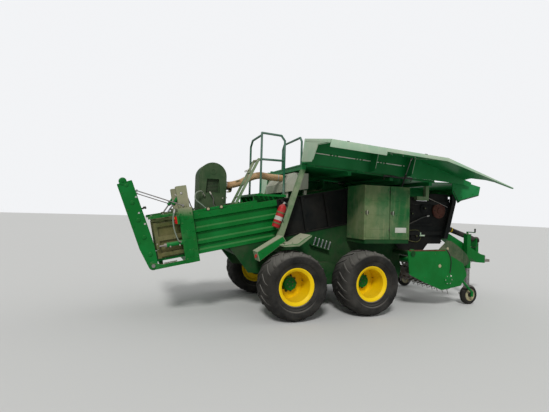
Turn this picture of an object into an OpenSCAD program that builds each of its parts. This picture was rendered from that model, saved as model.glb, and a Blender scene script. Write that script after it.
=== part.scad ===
// Large square baler on a tandem axle, parked on its jack with the right side panel up.
// Millimetres. The machine is drawn with x = 0 midway between its axles, +X towards
// the tractor, +Y to its left and z = 0 on the ground. from_eye() then carries every
// piece to the part's own frame, whose origin is the centre of the tow eye.

/* [Wheels] */
// Radius of a main tyre out to its lugs
tyre_r = 580; // [540:5:600]
// Width of a main tyre
tyre_w = 600; // [520:10:620]
// Depth of a tread lug
lug_h = 26; // [14:2:34]
// Lugs on each shoulder of a main tyre
lug_count = 12; // [10:1:14]
// Radius of the rim's flange
rim_r = 317; // [300:1:330]
// Distance between the two axles
axle_gap = 1450; // [1300:10:1500]
// Distance between the wheels of one axle, centre to centre
track = 2300; // [2300:10:2400]
// Radius of a gauge wheel
gauge_r = 200; // [180:5:205]
// Width of a gauge wheel
gauge_w = 120; // [90:5:140]

/* [Bale channel] */
// Half the inner width of the bale channel
channel_half = 600; // [580:5:600]
// Outer height of the channel's sides
channel_h = 700; // [660:10:740]
// Depth of the ribs pressed into the sides
rib_depth = 60; // [40:5:60]
// Upward slope of the channel towards the front, in degrees
channel_slope = 10.8; // [10:0.1:11.5]
// Length of the channel from its rear end to the plunger
channel_len = 4200; // [4000:20:4300]
// Length of the swinging tension doors at the rear end
tension_len = 520; // [460:10:540]

/* [Side panels] */
// Height of the panels' hinge above the ground, at its rear end
hinge_z = 2690; // [2680:5:2760]
// Distance of the panels' hinge from the centre plane
hinge_y = 900; // [880:5:920]
// Width of a panel's top part, from the hinge to the side face
panel_top = 450; // [430:5:480]
// Height of a panel's side face
panel_side = 1020; // [960:10:1060]
// Length of a panel's straight rear part
panel_rear = 2300; // [2240:10:2340]
// Length of a panel's front part, which leans inward
panel_front = 1700; // [1500:10:1720]
// Thickness of a panel's folded sheet
panel_t = 24; // [16:2:30]
// How far the panels swing between shut and up, in degrees
panel_swing = 80; // [70:1:84]

/* [Bale chute] */
// Length of the chute's side arms
chute_len = 1480; // [1300:20:1500]
// How far the folded chute leans back from upright, in degrees
chute_lean = 20; // [16:1:24]
// Width of the chute's side arms
chute_w = 230; // [200:5:240]

/* [Frame and drawbar] */
// Distance of the tow eye ahead of the middle of the tandem
eye_x = 5000; // [4900:10:5100]
// Height of the tow eye above the ground
eye_z = 760; // [720:10:800]
// Bore of the tow eye
eye_bore = 50; // [40:1:60]
// Thickness of the frame's side plates
plate_t = 40; // [30:5:40]
// Distance of the frame plates' inner faces from the centre plane
plate_y = 604; // [600:1:610]

/* [Pickup] */
// Half the width between the pickup's side sheets
pickup_half = 1180; // [1100:10:1200]
// Radius out to the tips of the tines
tine_r = 320; // [280:5:330]
// Rows of tines round the reel
tine_rows = 5; // [4:1:6]
// Tines in a row
tine_count = 16; // [10:1:20]

/* [Flywheel] */
// Radius of the flywheel
flywheel_r = 380; // [320:5:400]
// Thickness of the flywheel
flywheel_t = 110; // [80:5:130]

/* [Hidden] */
$fn = 48;

green = [0.04, 0.42, 0.12];
pale_green = [0.55, 0.66, 0.48];
yellow = [0.93, 0.78, 0.06];
black = [0.09, 0.09, 0.10];
grey = [0.45, 0.46, 0.47];
steel = [0.62, 0.62, 0.64];
red = [0.72, 0.08, 0.08];

slack = 6;
seat = 0.3;
tilt = tan(channel_slope);
rear_x = -2900;
rear_z = 936;
outer_half = channel_half + rib_depth;
wheel_y = track / 2;
axle_x = axle_gap / 2;
hub_z = tyre_r;

// Height of the channel's underside above the ground at a place x
function channel_bottom(x) = rear_z + tilt * (x - rear_x);
// Height of the channel's top above the ground at a place x
function channel_top(x) = channel_bottom(x) + channel_h / cos(channel_slope);
// Height of the panels' hinge line above the ground at a place x
hinge_x = -500;
hinge_slope = 3;
function hinge_line(x) = hinge_z - tan(hinge_slope) * (x - hinge_x);

module from_eye() {
    translate([-eye_x, 0, -eye_z]) children();
}

// The channel's own frame: x runs forward and up along its floor
module along_channel() {
    translate([rear_x, 0, rear_z]) rotate([0, -channel_slope, 0]) children();
}

// Back from the channel's frame to the machine's
module from_channel() {
    rotate([0, channel_slope, 0]) translate([-rear_x, 0, -rear_z]) children();
}

// A shape and its mirror image on the other side of the machine
module both_sides() {
    children();
    mirror([0, 1, 0]) children();
}

// A box given by its low corner and its high corner
module span(low, high) {
    translate(low) cube(high - low);
}

// A plate standing along X: an outline in x and z, between two values of y
module side_plate(outline, y_low, y_high) {
    translate([0, y_high, 0]) rotate([90, 0, 0]) linear_extrude(y_high - y_low)
        polygon(outline);
}

// A round bar lying along Y
module cross_bar(x, z, r, y_low, y_high) {
    translate([x, y_low, z]) rotate([-90, 0, 0]) cylinder(r = r, h = y_high - y_low);
}

// A round bar from one point to another
module bar(a, b, r) {
    d = b - a;
    length = norm(d);
    translate(a) rotate([0, acos(d[2] / length), atan2(d[1], d[0])])
        cylinder(r = r, h = length);
}

// A bent round tube through a list of points, with a ball at each bend
module bent_tube(points, r) {
    $fn = 24;
    for (i = [0 : len(points) - 2]) bar(points[i], points[i + 1], r);
    for (i = [1 : len(points) - 2]) translate(points[i]) sphere(r = r);
}

// Main frame: side plates below the channel, cross members and pivots
frame_rear = -1700;
frame_step = 1260;
frame_nose = 2300;
frame_top = 2220;
gearbox_x = 1700;
gearbox_low = 1720;
gearbox_top = 2150;
pickup_pivot = [1750, 1090];
plate_outline = [
    [frame_rear, channel_bottom(frame_rear)], [-1620, 1060], [-1350, 720], [-980, 690],
    [-420, 640], [420, 640], [1300, 560], [1870, 520], [1920, 700],
    [1830, 1230], [frame_nose, 1400], [frame_nose, 2080], [2240, frame_top],
    [frame_step, frame_top], [frame_step, channel_bottom(frame_step)]];
beam_xs = [-1500, -300];
ledge_x = -180;
ledge_len = 390;
// Height of the springs' ledge at a place x
function ledge_top(x) = 1232 - 0.28 * (x - ledge_x);
module main_frame() from_eye() color(green) {
    difference() {
        union() {
            both_sides() side_plate(plate_outline, plate_y, plate_y + plate_t);
            for (x = beam_xs) cross_bar(x, channel_bottom(x) - 150, 60, -plate_y - 1, plate_y + 1);
            span([frame_nose - 160, -plate_y - 1, 1420], [frame_nose, plate_y + 1, 1560]);
            span([frame_nose - 160, -plate_y - 1, gearbox_top], [frame_nose - 60, plate_y + 1, frame_top]);
            for (x = [gearbox_x, gearbox_x + 400])
                span([x, -plate_y - 1, gearbox_low - 60], [x + 100, plate_y + 1, gearbox_low]);
            mirror([0, 1, 0]) side_plate([[ledge_x, ledge_top(ledge_x) - 20], [ledge_x + ledge_len,
                ledge_top(ledge_x + ledge_len) - 20], [ledge_x + ledge_len, ledge_top(ledge_x + ledge_len)],
                [ledge_x, ledge_top(ledge_x)]], plate_y + plate_t - 1, plate_y + plate_t + 90);
            both_sides() cross_bar(pickup_pivot[0], pickup_pivot[1], 50,
                plate_y + plate_t - 1, pickup_half + 40);
            both_sides() span([620, plate_y + plate_t - 1, 1290], [1580, 1270, 1360]);
        }
        both_sides() cross_bar(0, 780, 95, plate_y - 10, plate_y + plate_t + 10);
        both_sides() side_plate([[-1180, 830], [-640, 760], [-640, 1120], [-1180, 1060]],
            plate_y - 10, plate_y + plate_t + 10);
        both_sides() side_plate([[1420, 1790], [2080, 1790], [2080, 2110], [1420, 2110]],
            plate_y - 10, plate_y + plate_t + 10);
    }
}

// Tandem axle: a cross tube, a walking beam on each side and four stub axles
beam_y = 700;
beam_w = 110;
stub_r = 55;
hub_in = wheel_y - 190;
module tandem_axle() from_eye() color(green) {
    cross_bar(0, 780, 95 - seat, -beam_y - beam_w, beam_y + beam_w);
    both_sides() {
        difference() {
            side_plate([[-axle_x - 110, hub_z - 90], [axle_x + 110, hub_z - 90],
                [axle_x + 110, hub_z + 80], [160, 900], [-160, 900],
                [-axle_x - 110, hub_z + 80]], beam_y, beam_y + beam_w);
            cross_bar(0, 780, 95 - seat, beam_y - 1, beam_y + beam_w + 1);
        }
        for (side = [-1, 1]) cross_bar(side * axle_x, hub_z, stub_r, beam_y + beam_w, hub_in + 60);
    }
}

// Drawbar: two rear arms that close on a single beam, then a drop to the eye
arm_y = 420;
neck_x = 3500;
neck_z = 1420;
fork_x = 4640;
bar_half = 110;
drop_z = 860;
module drawbar() from_eye() color(green) {
    both_sides() hull() {
        span([frame_nose + seat, arm_y, 1480], [frame_nose + 40, arm_y + 90, 1640]);
        span([neck_x - 40, 20, neck_z - 70], [neck_x, bar_half, neck_z + 70]);
    }
    side_plate([[neck_x - 40, neck_z - 80], [neck_x - 40, neck_z + 80], [neck_x + 60, neck_z + 70],
        [fork_x + 60, drop_z + 70], [fork_x + 200, drop_z + 40], [fork_x + 200, drop_z - 150],
        [fork_x - 60, drop_z - 130], [neck_x + 40, neck_z - 80]], -bar_half, bar_half);
    both_sides() span([frame_nose + seat, arm_y - 60, 1430], [frame_nose + 30, arm_y + 150, 1700]);
    difference() {
        side_plate([[4560, 900], [4640, 870], [4640, 1290], [4560, 1310]], -100, 100);
        bar(shaft_a, shaft_b, 60 + seat);
        side_plate([[4500, 1275], [4700, 1210], [4700, 1400], [4500, 1400]], -60 - seat, 60 + seat);
    }
}

// Tow eye: a ring with a shank bolted to the drawbar's nose
eye_t = 60;
eye_outer = 85;
module tow_eye() from_eye() color(steel) {
    difference() {
        union() {
            translate([eye_x, 0, eye_z - eye_t / 2]) cylinder(r = eye_outer, h = eye_t);
            span([fork_x + 200 + seat, -80, eye_z - eye_t / 2], [eye_x - 20, 80, eye_z + eye_t / 2]);
            span([fork_x + 200 + seat, -100, drop_z - 140], [fork_x + 230, 100, drop_z + 30]);
        }
        translate([eye_x, 0, eye_z - eye_t]) cylinder(r = eye_bore / 2, h = 2 * eye_t);
    }
}

// Parking jack: a square outer tube on the drawbar and a leg that slides in it
jack_x = 4150;
jack_y = -220;
jack_half = 55;
jack_stroke = 350;
module jack_tube() from_eye() color(green) {
    difference() {
        span([jack_x - jack_half, jack_y - jack_half, 620], [jack_x + jack_half, jack_y + jack_half, 1420]);
        span([jack_x - jack_half + 10, jack_y - jack_half + 10, 600],
            [jack_x + jack_half - 10, jack_y + jack_half - 10, 1400]);
    }
    span([jack_x - 45, jack_y + jack_half, 1010], [jack_x + 45, -bar_half - seat, 1150]);
    translate([jack_x, jack_y, 1420]) cylinder(r = 22, h = 60);
    bar([jack_x, jack_y, 1470], [jack_x, jack_y - 220, 1470], 11);
    bar([jack_x, jack_y - 215, 1462], [jack_x, jack_y - 215, 1560], 14);
}

module jack_foot() from_eye() color(steel) {
    leg = jack_half - 10 - seat;
    span([jack_x - leg, jack_y - leg, 24], [jack_x + leg, jack_y + leg, 1000]);
    span([jack_x - 130, jack_y - 110, 0], [jack_x + 130, jack_y + 110, 24]);
}

// Bale channel: ribbed sides, floor, top and front frame
side_t = 12;
rib_table = [[0, 80], [140, 240], [350, 460], [570, channel_h]];
rib_slope = 24;
side_profile = concat([[channel_half, 0]],
    [for (r = rib_table) each [
        [r[0] == 0 ? outer_half : channel_half + side_t, r[0]],
        [outer_half, r[0] + (r[0] == 0 ? 0 : rib_slope)],
        [outer_half, r[1] - (r[1] == channel_h ? 0 : rib_slope)],
        [r[1] == channel_h ? outer_half : channel_half + side_t, r[1]]]],
    [[channel_half, channel_h]]);
side_start = tension_len + 40;
floor_t = 40;
case_start = 2200;
module channel() from_eye() along_channel() color(green) {
    both_sides() translate([side_start, 0, 0]) rotate([90, 0, 90])
        linear_extrude(case_start - side_start) polygon(side_profile);
    difference() {
        span([0, -channel_half, 0], [channel_len - 600, channel_half, floor_t]);
        for (y = [-450 : 180 : 450]) span([2300, y - 22, -1], [2900, y + 22, floor_t + 1]);
    }
    span([side_start, -channel_half, channel_h - 60], [channel_len, channel_half, channel_h - 48]);
    for (y = [-500, -167, 167, 500])
        span([side_start, y - 50, channel_h - 60], [channel_len, y + 50, channel_h]);
    for (x = [side_start, 1500, 2500, channel_len - 100])
        span([x, -channel_half, channel_h - 60], [x + 100, channel_half, channel_h]);
    both_sides() span([side_start, outer_half - 60, channel_h], [1840, outer_half - 20, channel_h + 40]);
    both_sides() span([side_start, outer_half - 140, channel_h], [1840, outer_half - 100, channel_h + 24]);
}

// Plunger case: the plain front part of the channel's sides, with upright stiffeners
module plunger_case() from_eye() along_channel() color(black) both_sides() {
    span([case_start + seat, channel_half + seat, 0], [channel_len, channel_half + 14, channel_h]);
    for (z = [0, channel_h - 20]) span([case_start + seat, channel_half + seat, z], [channel_len, outer_half, z + 20]);
    for (x = [case_start + seat : (channel_len - case_start - 50) / 4 : channel_len - 49])
        span([x, channel_half + 13, 19], [x + 40, outer_half, channel_h - 19]);
}

// Density frame: posts round the tension doors, the rear end frame and two towers
post_a = 440;
post_b = 670;
frame_y = outer_half + 2;
post_y = outer_half + 70;
rail_y = outer_half + 16;
tower_top = 1180;
module density_frame() from_eye() along_channel() color(green) {
    difference() {
        span([post_a, -post_y, -110], [post_b, post_y, channel_h + 110]);
        span([post_a - 1, -frame_y, -slack], [post_b + 1, frame_y, channel_h + 40 + seat]);
    }
    both_sides() {
        difference() {
            span([post_a + 40, 420, channel_h + 110], [post_b - 10, 560, tower_top]);
            translate([(post_a + post_b) / 2, 400, 1060]) rotate([-90, 0, 0]) cylinder(r = 22, h = 200);
            span([post_a + 60, 440, channel_h + 300], [post_b - 30, 540, tower_top + 1]);
        }
        span([-40, rail_y, -110], [post_a, rail_y + 30, -50]);
        span([-40, rail_y, channel_h + 10], [post_a, rail_y + 30, channel_h + 60]);
        span([stay_x - 35, 600, channel_h + 109], [stay_x + 45, 630 - seat, channel_h + 180]);
        span([post_a - 40, post_y - 30, 560], [post_a, post_y + 50, 700]);
    }
    from_channel() both_sides() difference() {
        side_plate([[chute_pivot[0] - 50, chute_pivot[1] - 50], [chute_pivot[0] + 140, chute_pivot[1] - 30],
            [chute_pivot[0] + 140, chute_pivot[1] + 20], [chute_pivot[0] - 50, chute_pivot[1] + 50]],
            rail_y, rail_y + 30);
        cross_bar(chute_pivot[0], chute_pivot[1], 30, rail_y - 1, rail_y + 31);
    }
    both_sides() {
        span([490, channel_half + seat, 0], [side_start - seat, frame_y + 1, floor_t]);
        span([490, channel_half + seat, door_top + seat], [side_start - seat, frame_y + 1, door_top + 12]);
        translate([tension_len - 5, knuckle_y, 1]) cylinder(r = 9.7, h = door_top);
    }
    span([30, -rail_y - 30, -110], [90, rail_y + 30, -60]);
    for (y = [-400, 400]) span([30, y - 40, -60], [90, y + 40, 0]);
}

// Density cylinders: one level cylinder on each side, between post and door bracket
module density_cylinders() from_eye() along_channel() color(steel) {
    both_sides() {
        bar([post_a - seat, frame_y + 35, 250], [140, frame_y + 35, 250], 33);
        bar([141, frame_y + 35, 250], [door_x + 41, frame_y + 35, 250], 16);
    }
}

// Tension doors: the last stretch of each channel side, hinged at its front edge
door_x = 20;
door_top = channel_h - 60 - slack;
knuckle_y = channel_half + 26;
module tension_door() {
    door_end = tension_len - 24;
    span([door_x, channel_half, floor_t + slack], [door_end, channel_half + 14, door_top]);
    for (r = [[70, 130], [330, 400], [560, 620]])
        span([door_x + 60, channel_half + 14, r[0]], [door_end, channel_half + 50, r[1]]);
    span([door_x, channel_half + 14, floor_t + slack], [door_x + 60, channel_half + 50, door_top]);
    span([door_x, channel_half + 40, 215], [door_x + 40, frame_y + 70, 285]);
    translate([tension_len - 5, knuckle_y, floor_t + seat]) difference() {
        cylinder(r = 24, h = door_top - floor_t - seat);
        translate([0, 0, -1]) cylinder(r = 10, h = door_top);
    }
}
module tension_door_left() from_eye() along_channel() color(green) tension_door();
module tension_door_right() from_eye() along_channel() color(green) mirror([0, 1, 0]) tension_door();

// Top tension rail: bars over the bale, hinged at the front edge
rail_half = 500;
module tension_rail_top() from_eye() along_channel() color(green) {
    for (y = [-440, -147, 147, 440])
        span([door_x, y - 50, channel_h - 50], [tension_len, y + 50, channel_h - 6]);
    for (x = [door_x, 240]) span([x, -rail_half, channel_h - 6], [x + 60, rail_half, channel_h + 34]);
    cross_bar(tension_len, channel_h - 28, 22, -frame_y + seat, frame_y - seat);
}

// Bale chute, folded up: two side arms, end bar and rollers
chute_pivot = [-2965, 880];
chute_half = outer_half + 10;
chute_rollers = 5;
module chute_frame() {
    both_sides() {
        difference() {
            hull() {
                cross_bar(0, 0, 75, chute_half - 60, chute_half);
                span([-chute_w / 2, chute_half - 60, 300], [chute_w / 2, chute_half, chute_len - 60]);
            }
            cross_bar(0, 0, 30, chute_half - 70, chute_half + 10);
        }
        cross_bar(-20, chute_len - 40, 60, chute_half - 60, chute_half);
    }
    for (i = [0 : chute_rollers - 1])
        cross_bar(10, 190 + i * (chute_len - 300) / (chute_rollers - 1), 38,
            -chute_half + 59, chute_half - 59);
    span([-70, -chute_half + 59, 110], [-40, chute_half - 59, 180]);
    span([-70, -chute_half + 59, chute_len - 260], [-40, chute_half - 59, chute_len - 190]);
}
module bale_chute() from_eye() color(green)
    translate([chute_pivot[0], 0, chute_pivot[1]]) rotate([0, -chute_lean, 0]) chute_frame();

// Pins of the chute and the stays that hold it up in transport
stay_x = post_a + 105;
stay_z = channel_h + 152;
stay_reach = 1235;
stay_low = [rear_x + stay_x * cos(channel_slope) - stay_z * sin(channel_slope), 640,
    rear_z + stay_x * sin(channel_slope) + stay_z * cos(channel_slope)];
stay_out = chute_w / 2 + 20 + seat;
stay_high = [chute_pivot[0] + stay_out * cos(chute_lean) - stay_reach * sin(chute_lean), 640,
    chute_pivot[1] + stay_out * sin(chute_lean) + stay_reach * cos(chute_lean)];
module chute_stay() from_eye() color(steel) both_sides() {
    cross_bar(chute_pivot[0], chute_pivot[1], 29.5, chute_half - 62, rail_y + 40);
    bar(stay_low, stay_high, 9);
    translate(stay_low) rotate([90, 0, 0]) cylinder(r = 20, h = 20, center = true);
    translate(stay_high) rotate([90, 0, 0]) cylinder(r = 20, h = 20, center = true);
}

// Blower housing: an arch over the channel with a window in each side
blower_x = -1960;
blower_r = 250;
blower_low = blower_x - blower_r;
blower_high = blower_x + blower_r;
module blower_housing() from_eye() color(green) {
    difference() {
        union() {
            side_plate([[blower_low, channel_top(blower_low)], [blower_high, channel_top(blower_high)],
                [blower_high, 2430], [blower_low, 2430]], -260, 260);
            cross_bar(blower_x, 2430, blower_r, -260, 260);
        }
        for (side = [-1, 1]) translate([blower_x, side * 260, 0]) {
            side_plate([[-130, 2120], [130, 2120], [110, 2380], [-110, 2380]], -60, 60);
        }
    }
}

// Air hose from the blower forward to the knotters
hose_r = 68;
hose_points = [[blower_high + seat, -150, 2290], [-1620, -150, 2290], [-1420, -170, 2350],
    [-1240, -200, 2450], [-1060, -220, 2500], [-860, -220, 2480], [-600, -220, 2470]];
module air_hose() from_eye() color([0.66, 0.47, 0.27]) {
    bent_tube(hose_points, hose_r);
}

// Knotter cover: a slanted box across the channel under the platform's front
cover_half = 570;
module knotter_cover() from_eye() color(pale_green) {
    difference() {
        side_plate([[-660, 2190], [-200, 2270], [-200, 2560], [-500, 2560], [-660, 2350]], -cover_half, cover_half);
        side_plate([[-640, 2230], [-199, 2300], [-199, 2540], [-508, 2540], [-640, 2340]],
            -cover_half + 20, cover_half - 20);
        bar([-860, -220, 2480], [-340, -220, 2460], hose_r + seat);
    }
    for (x = [-640, -260]) for (side = [-1, 1])
        side_plate([[x, channel_top(x)], [x + 50, channel_top(x + 50)], [x + 50, 2240], [x, 2240]],
            side * 500 - 30, side * 500 + 30);
}

// Platform behind the knotters
deck_z = 2130;
deck_low = -1250;
deck_high = -670;
module platform() from_eye() color(green) {
    difference() {
        span([deck_low, -640, deck_z - 40], [deck_high, 640, deck_z]);
        for (x = [deck_low + 70 : 90 : deck_high - 60], y = [-540 : 180 : 540])
            span([x, y - 60, deck_z - 50], [x + 40, y + 60, deck_z + 1]);
    }
    both_sides() side_plate([[deck_low, channel_top(deck_low)], [-840, channel_top(-840)],
        [-840, deck_z - 40], [deck_low, deck_z - 40]], 440, 480);
}

// Guard rails round the platform
rail_r = 20;
module guard_rails() from_eye() color(green) {
    bent_tube([[-1160, -600, deck_z], [-1160, -600, 3240], [-780, -600, 3220],
        [-710, -600, 3130], [-710, -600, deck_z]], rail_r);
    bent_tube([[-1160, -600, 3200], [-1160, -20, 3190], [-1160, 100, 3080], [-1160, 100, deck_z]], rail_r);
    bar([-1160, -600, 2760], [-710, -600, 2760], rail_r);
    bar([-1160, -600, 2760], [-1160, 100, 2760], rail_r);
    hoop_z = hinge_line(-440 - rail_r) + seat;
    bent_tube([[-440, -760, hoop_z], [-440, -760, 3120], [-440, -690, 3200],
        [-440, 120, 3190], [-440, 200, 3100], [-440, 200, hoop_z]], rail_r);
}

// Ladder from the channel's top up to the platform
module ladder() from_eye() color(pale_green) {
    low = [-1636, channel_top(-1586) + 41];
    high = [-1160 - rail_r - 50, 2770];
    for (y = [-620, -340])
        side_plate([low, low + [50, 0], high + [50, 0], high], y - 12, y + 12);
    for (i = [0.15 : 0.27 : 1]) cross_bar(low[0] + 25 + i * (high[0] - low[0]),
        low[1] + i * (high[1] - low[1]), 14, -620, -340);
}

// Fixed roof between the panels, with a rib over each hinge
roof_rear = -480;
roof_front = 2560;
roof_t = 24;
module hood_roof() from_eye() color(green) {
    side_plate([[roof_rear, hinge_line(roof_rear) - roof_t], [roof_front, hinge_line(roof_front) - roof_t],
        [roof_front, hinge_line(roof_front)], [roof_rear, hinge_line(roof_rear)]], -hinge_y + 40, hinge_y - 40);
    both_sides() on_hinge() {
        upstand_end = (roof_front - hinge_x) / cos(hinge_slope) - 20;
        span([30, -46, -roof_t + 2], [upstand_end, -39, 30]);
    }
    both_sides() on_hinge() for (x = knuckle_xs) {
        for (end = [x - 22, x + knuckle_len + 2]) span([end, -42, -12], [end + 20, 12, 12]);
        translate([x - 20, 0, 0]) rotate([0, 90, 0]) cylinder(r = pin_r, h = knuckle_len + 40);
    }
    both_sides() {
        span([strut_x + 18, strut_foot[0] - 30, strut_foot[1] - 30],
            [strut_x + 30, strut_foot[0] + 30, hinge_line(strut_x + 30) - roof_t]);
        translate([strut_x - 12, strut_foot[0], strut_foot[1]]) rotate([0, 90, 0]) cylinder(r = 10, h = 31);
    }
    for (x = [-470, 480, 1430, 2400])
        side_plate([[x, hinge_line(x) - roof_t - 70], [x + 80, hinge_line(x + 80) - roof_t - 70],
            [x + 80, hinge_line(x + 80) - roof_t], [x, hinge_line(x) - roof_t]], -hinge_y + 40, hinge_y - 40);
}

// Posts that carry the roof: leaning rear posts, front posts and their feet
post_w = 120;
post_foot = -918;
post_top = -470;
module hood_posts() from_eye() color(pale_green) {
    both_sides() {
        side_plate([[post_foot, 1330], [post_foot + post_w, 1330], [-390, hinge_line(-390) - roof_t - 70],
            [post_top, hinge_line(post_top) - roof_t - 70]], 780, 850);
        side_plate([[2400, 2220], [2480, 2220], [2480, hinge_line(2480) - roof_t - 70],
            [2400, hinge_line(2400) - roof_t - 70]], 700, 780);
        span([2180, plate_y + plate_t, 2140], [2480, 780, 2220]);
        span([-855, outer_half, 1500], [-800, 790, 1545]);
    }
    bottle_place() for (h = [60, 260]) translate([0, 0, h]) difference() {
        cylinder(r = bottle_r + 8, h = 26);
        translate([0, 0, -1]) cylinder(r = bottle_r + seat, h = 28);
    }
}

// Front hood: a raised nose with two cheeks
cheek_y = hinge_y - 76;
cheek_t = 16;
module front_hood() from_eye() color(green) {
    side_plate([[roof_front, hinge_line(roof_front)], [3050, 2548], [3560, 2545], [3833, 2493], [3786, 2293],
        [3766, 2297], [3808, 2476], [3556, 2525], [3052, 2528], [roof_front, hinge_line(roof_front) - 20]],
        -cheek_y - 1, cheek_y + 1);
    both_sides() side_plate([[3047, 2544], [3560, 2541], [3829, 2490], [3786, 2293], [3285, 2165],
        [3208, 2119], [3047, 2350]], cheek_y, cheek_y + cheek_t);
}

// Front pillars: a leaning pillar under each cheek, its two arms and the sheet between them
pillar_y = cheek_y - 80;
module front_pillars() from_eye() color(black) both_sides() {
    side_plate([[2860, 1350], [2960, 1350], [3170, 2130], [3170, 2300], [3070, 2300], [3070, 2130]],
        pillar_y, cheek_y - seat);
    for (arm = [[2060, 3110], [1420, 2920]])
        span([1610, plate_y + plate_t + seat, arm[0]], [arm[1], pillar_y + 6, arm[0] + 70]);
    side_plate([[1602, 1400], [1830, 1100], [2420, 1100], [2540, 1236], [2880, 1236], [2940, 1480], [3105, 2090],
        [3105, 2200], [2500, 2200], [2500, 2134], [2160, 2134], [2160, 2200], [1602, 2200]], 700, 706);
}

// Side panels: an angled shell with a leaning front part and ribs, drawn shut
front_lean = 12;
web_places = [1400, panel_rear - 60];
web_t = 8;
knuckle_xs = [140, 1180, 2040];
knuckle_len = 120;
pin_r = 8;
edge = 18;
end_web = [[edge, 0], [panel_top - 1, 0], [panel_top - 1, -panel_side + 1], [panel_top - 50, -panel_side + 1],
    [panel_top - 90, -0.55 * panel_side], [60, -0.42 * panel_side], [edge, -60]];
mid_web = [[edge, 0], [panel_top - 1, 0], [panel_top - 1, -panel_side + 1], [panel_top - 40, -panel_side + 1],
    [panel_top - 60, -240], [60, -220], [edge, -60]];
module panel_web(x, outline) {
    translate([x, 0, 0]) rotate([90, 0, 90]) linear_extrude(web_t) polygon(outline);
}
wall_overlap = 4;
// A point of the leaning front part: s along its wall, t outwards from the wall's face
function leaned(s, t) = [s * cos(front_lean) + t * sin(front_lean),
    panel_top - s * sin(front_lean) + t * cos(front_lean)];
panel_lip = 60;
module panel_shell() {
    front_lip = 22;
    span([0, edge, -panel_t], [panel_rear + wall_overlap, panel_top, 0]);
    for (x = knuckle_xs) difference() {
        union() {
            translate([x, 0, 0]) rotate([0, 90, 0]) cylinder(r = 15, h = knuckle_len);
            span([x, 4, -10], [x + knuckle_len, edge + 1, 4]);
        }
        translate([x - 1, 0, 0]) rotate([0, 90, 0]) cylinder(r = pin_r + 0.5, h = knuckle_len + 2);
    }
    span([0, panel_top - panel_t, -panel_side], [panel_rear + wall_overlap, panel_top, -1]);
    span([0, panel_top - panel_lip, -panel_side], [panel_rear, panel_top - 1, -panel_side + panel_t]);
    panel_web(0, end_web);
    for (x = web_places) panel_web(x, mid_web);
    translate([(strut_x - hinge_x + strut_t / 2 + 5) / cos(hinge_slope) - tan(hinge_slope) * strut_eye[1],
        strut_eye[0] - 30, strut_eye[1] - 30]) cube([10, panel_top - strut_eye[0] + 29, 60]);
    for (z = [-300, -620])
        span([1, panel_top - panel_t - 30, z], [panel_rear - 40, panel_top - panel_t + 1, z + 50]);
    translate([panel_rear, 0, 0]) {
        nose_tip = leaned(panel_front, -panel_t / 2);
        translate([0, 0, -panel_t - 2]) linear_extrude(panel_t)
            polygon([[-20, edge + 6], [nose_tip[0], edge + 6], nose_tip, leaned(2, -panel_t / 2),
                [-20, panel_top - panel_t / 2 - 2]]);
        translate([0, panel_top, 0]) rotate([0, 0, -front_lean]) {
            side_plate([[-5, -1], [panel_front - 200, -1], [panel_front - 450, -0.41 * panel_side],
                [panel_front - 460, -0.75 * panel_side], [panel_front - 370, -0.88 * panel_side],
                [panel_front - 10, -0.965 * panel_side], [panel_front, -panel_side], [-5, -panel_side]], -panel_t, 0);
            side_plate([[2, -panel_side], [panel_front - 1, -panel_side], [panel_front - 1, -panel_side + panel_t],
                [2, -panel_side + panel_t]], -front_lip, -1);
        }
    }
}
module on_hinge() {
    translate([hinge_x, hinge_y, hinge_z]) rotate([0, hinge_slope, 0]) children();
}
module panel_place(swing) on_hinge() rotate([swing, 0, 0]) panel_shell();
// A flange that widens the panel's lower lip, up to the twine box
flange_reach = 60;
module flange_place(swing) {
    flange_end = box_x - hinge_x - 60;
    on_hinge() rotate([swing, 0, 0])
        span([web_t + 1, panel_top - panel_lip - flange_reach, -panel_side],
            [flange_end, panel_top - panel_lip - seat, -panel_side + panel_t]);
}
module panel_flange_left() from_eye() color(green) flange_place(0);
module panel_flange_right() from_eye() color(green) mirror([0, 1, 0]) flange_place(panel_swing);
module side_panel_left() from_eye() color(green) panel_place(0);
module side_panel_right() from_eye() color(green) mirror([0, 1, 0]) panel_place(panel_swing);

// Gas struts: a barrel on the roof's edge and a rod whose eye meets the panel's pin
strut_x = 1700;
strut_foot = [hinge_y - 40, hinge_z - 360];
strut_eye = [385, -200];
strut_t = 20;
function swung(p, a) = [hinge_y + p[0] * cos(a) - p[1] * sin(a),
    hinge_line(strut_x) + p[0] * sin(a) + p[1] * cos(a)];
module strut_line(a) {
    tip = swung(strut_eye, a);
    d = tip - strut_foot;
    translate([strut_x, strut_foot[0], strut_foot[1]]) rotate([atan2(-d[0], d[1]), 0, 0]) children();
}
function strut_length(a) = norm(swung(strut_eye, a) - strut_foot);
strut_barrel_len = 320;
module strut_barrel(a) strut_line(a) {
    difference() {
        translate([0, 0, 18]) cylinder(r = 16, h = strut_barrel_len - 18);
        translate([0, 0, 40]) cylinder(r = 8, h = strut_barrel_len);
    }
    rotate([0, 90, 0]) difference() {
        cylinder(r = 22, h = strut_t, center = true);
        cylinder(r = 10.5, h = strut_t + 2, center = true);
    }
}
module strut_rod(a) strut_line(a) {
    translate([0, 0, strut_length(a) - 375]) cylinder(r = 7, h = 360);
    translate([0, 0, strut_length(a)]) rotate([0, 90, 0]) difference() {
        cylinder(r = 20, h = strut_t, center = true);
        cylinder(r = 10.5, h = strut_t + 2, center = true);
    }
}
module strut_barrel_left() from_eye() color(black) strut_barrel(0);
module strut_barrel_right() from_eye() color(black) mirror([0, 1, 0]) strut_barrel(panel_swing);
module strut_rod_left() from_eye() color(steel) strut_rod(0);
module strut_rod_right() from_eye() color(steel) mirror([0, 1, 0]) strut_rod(panel_swing);

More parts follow.
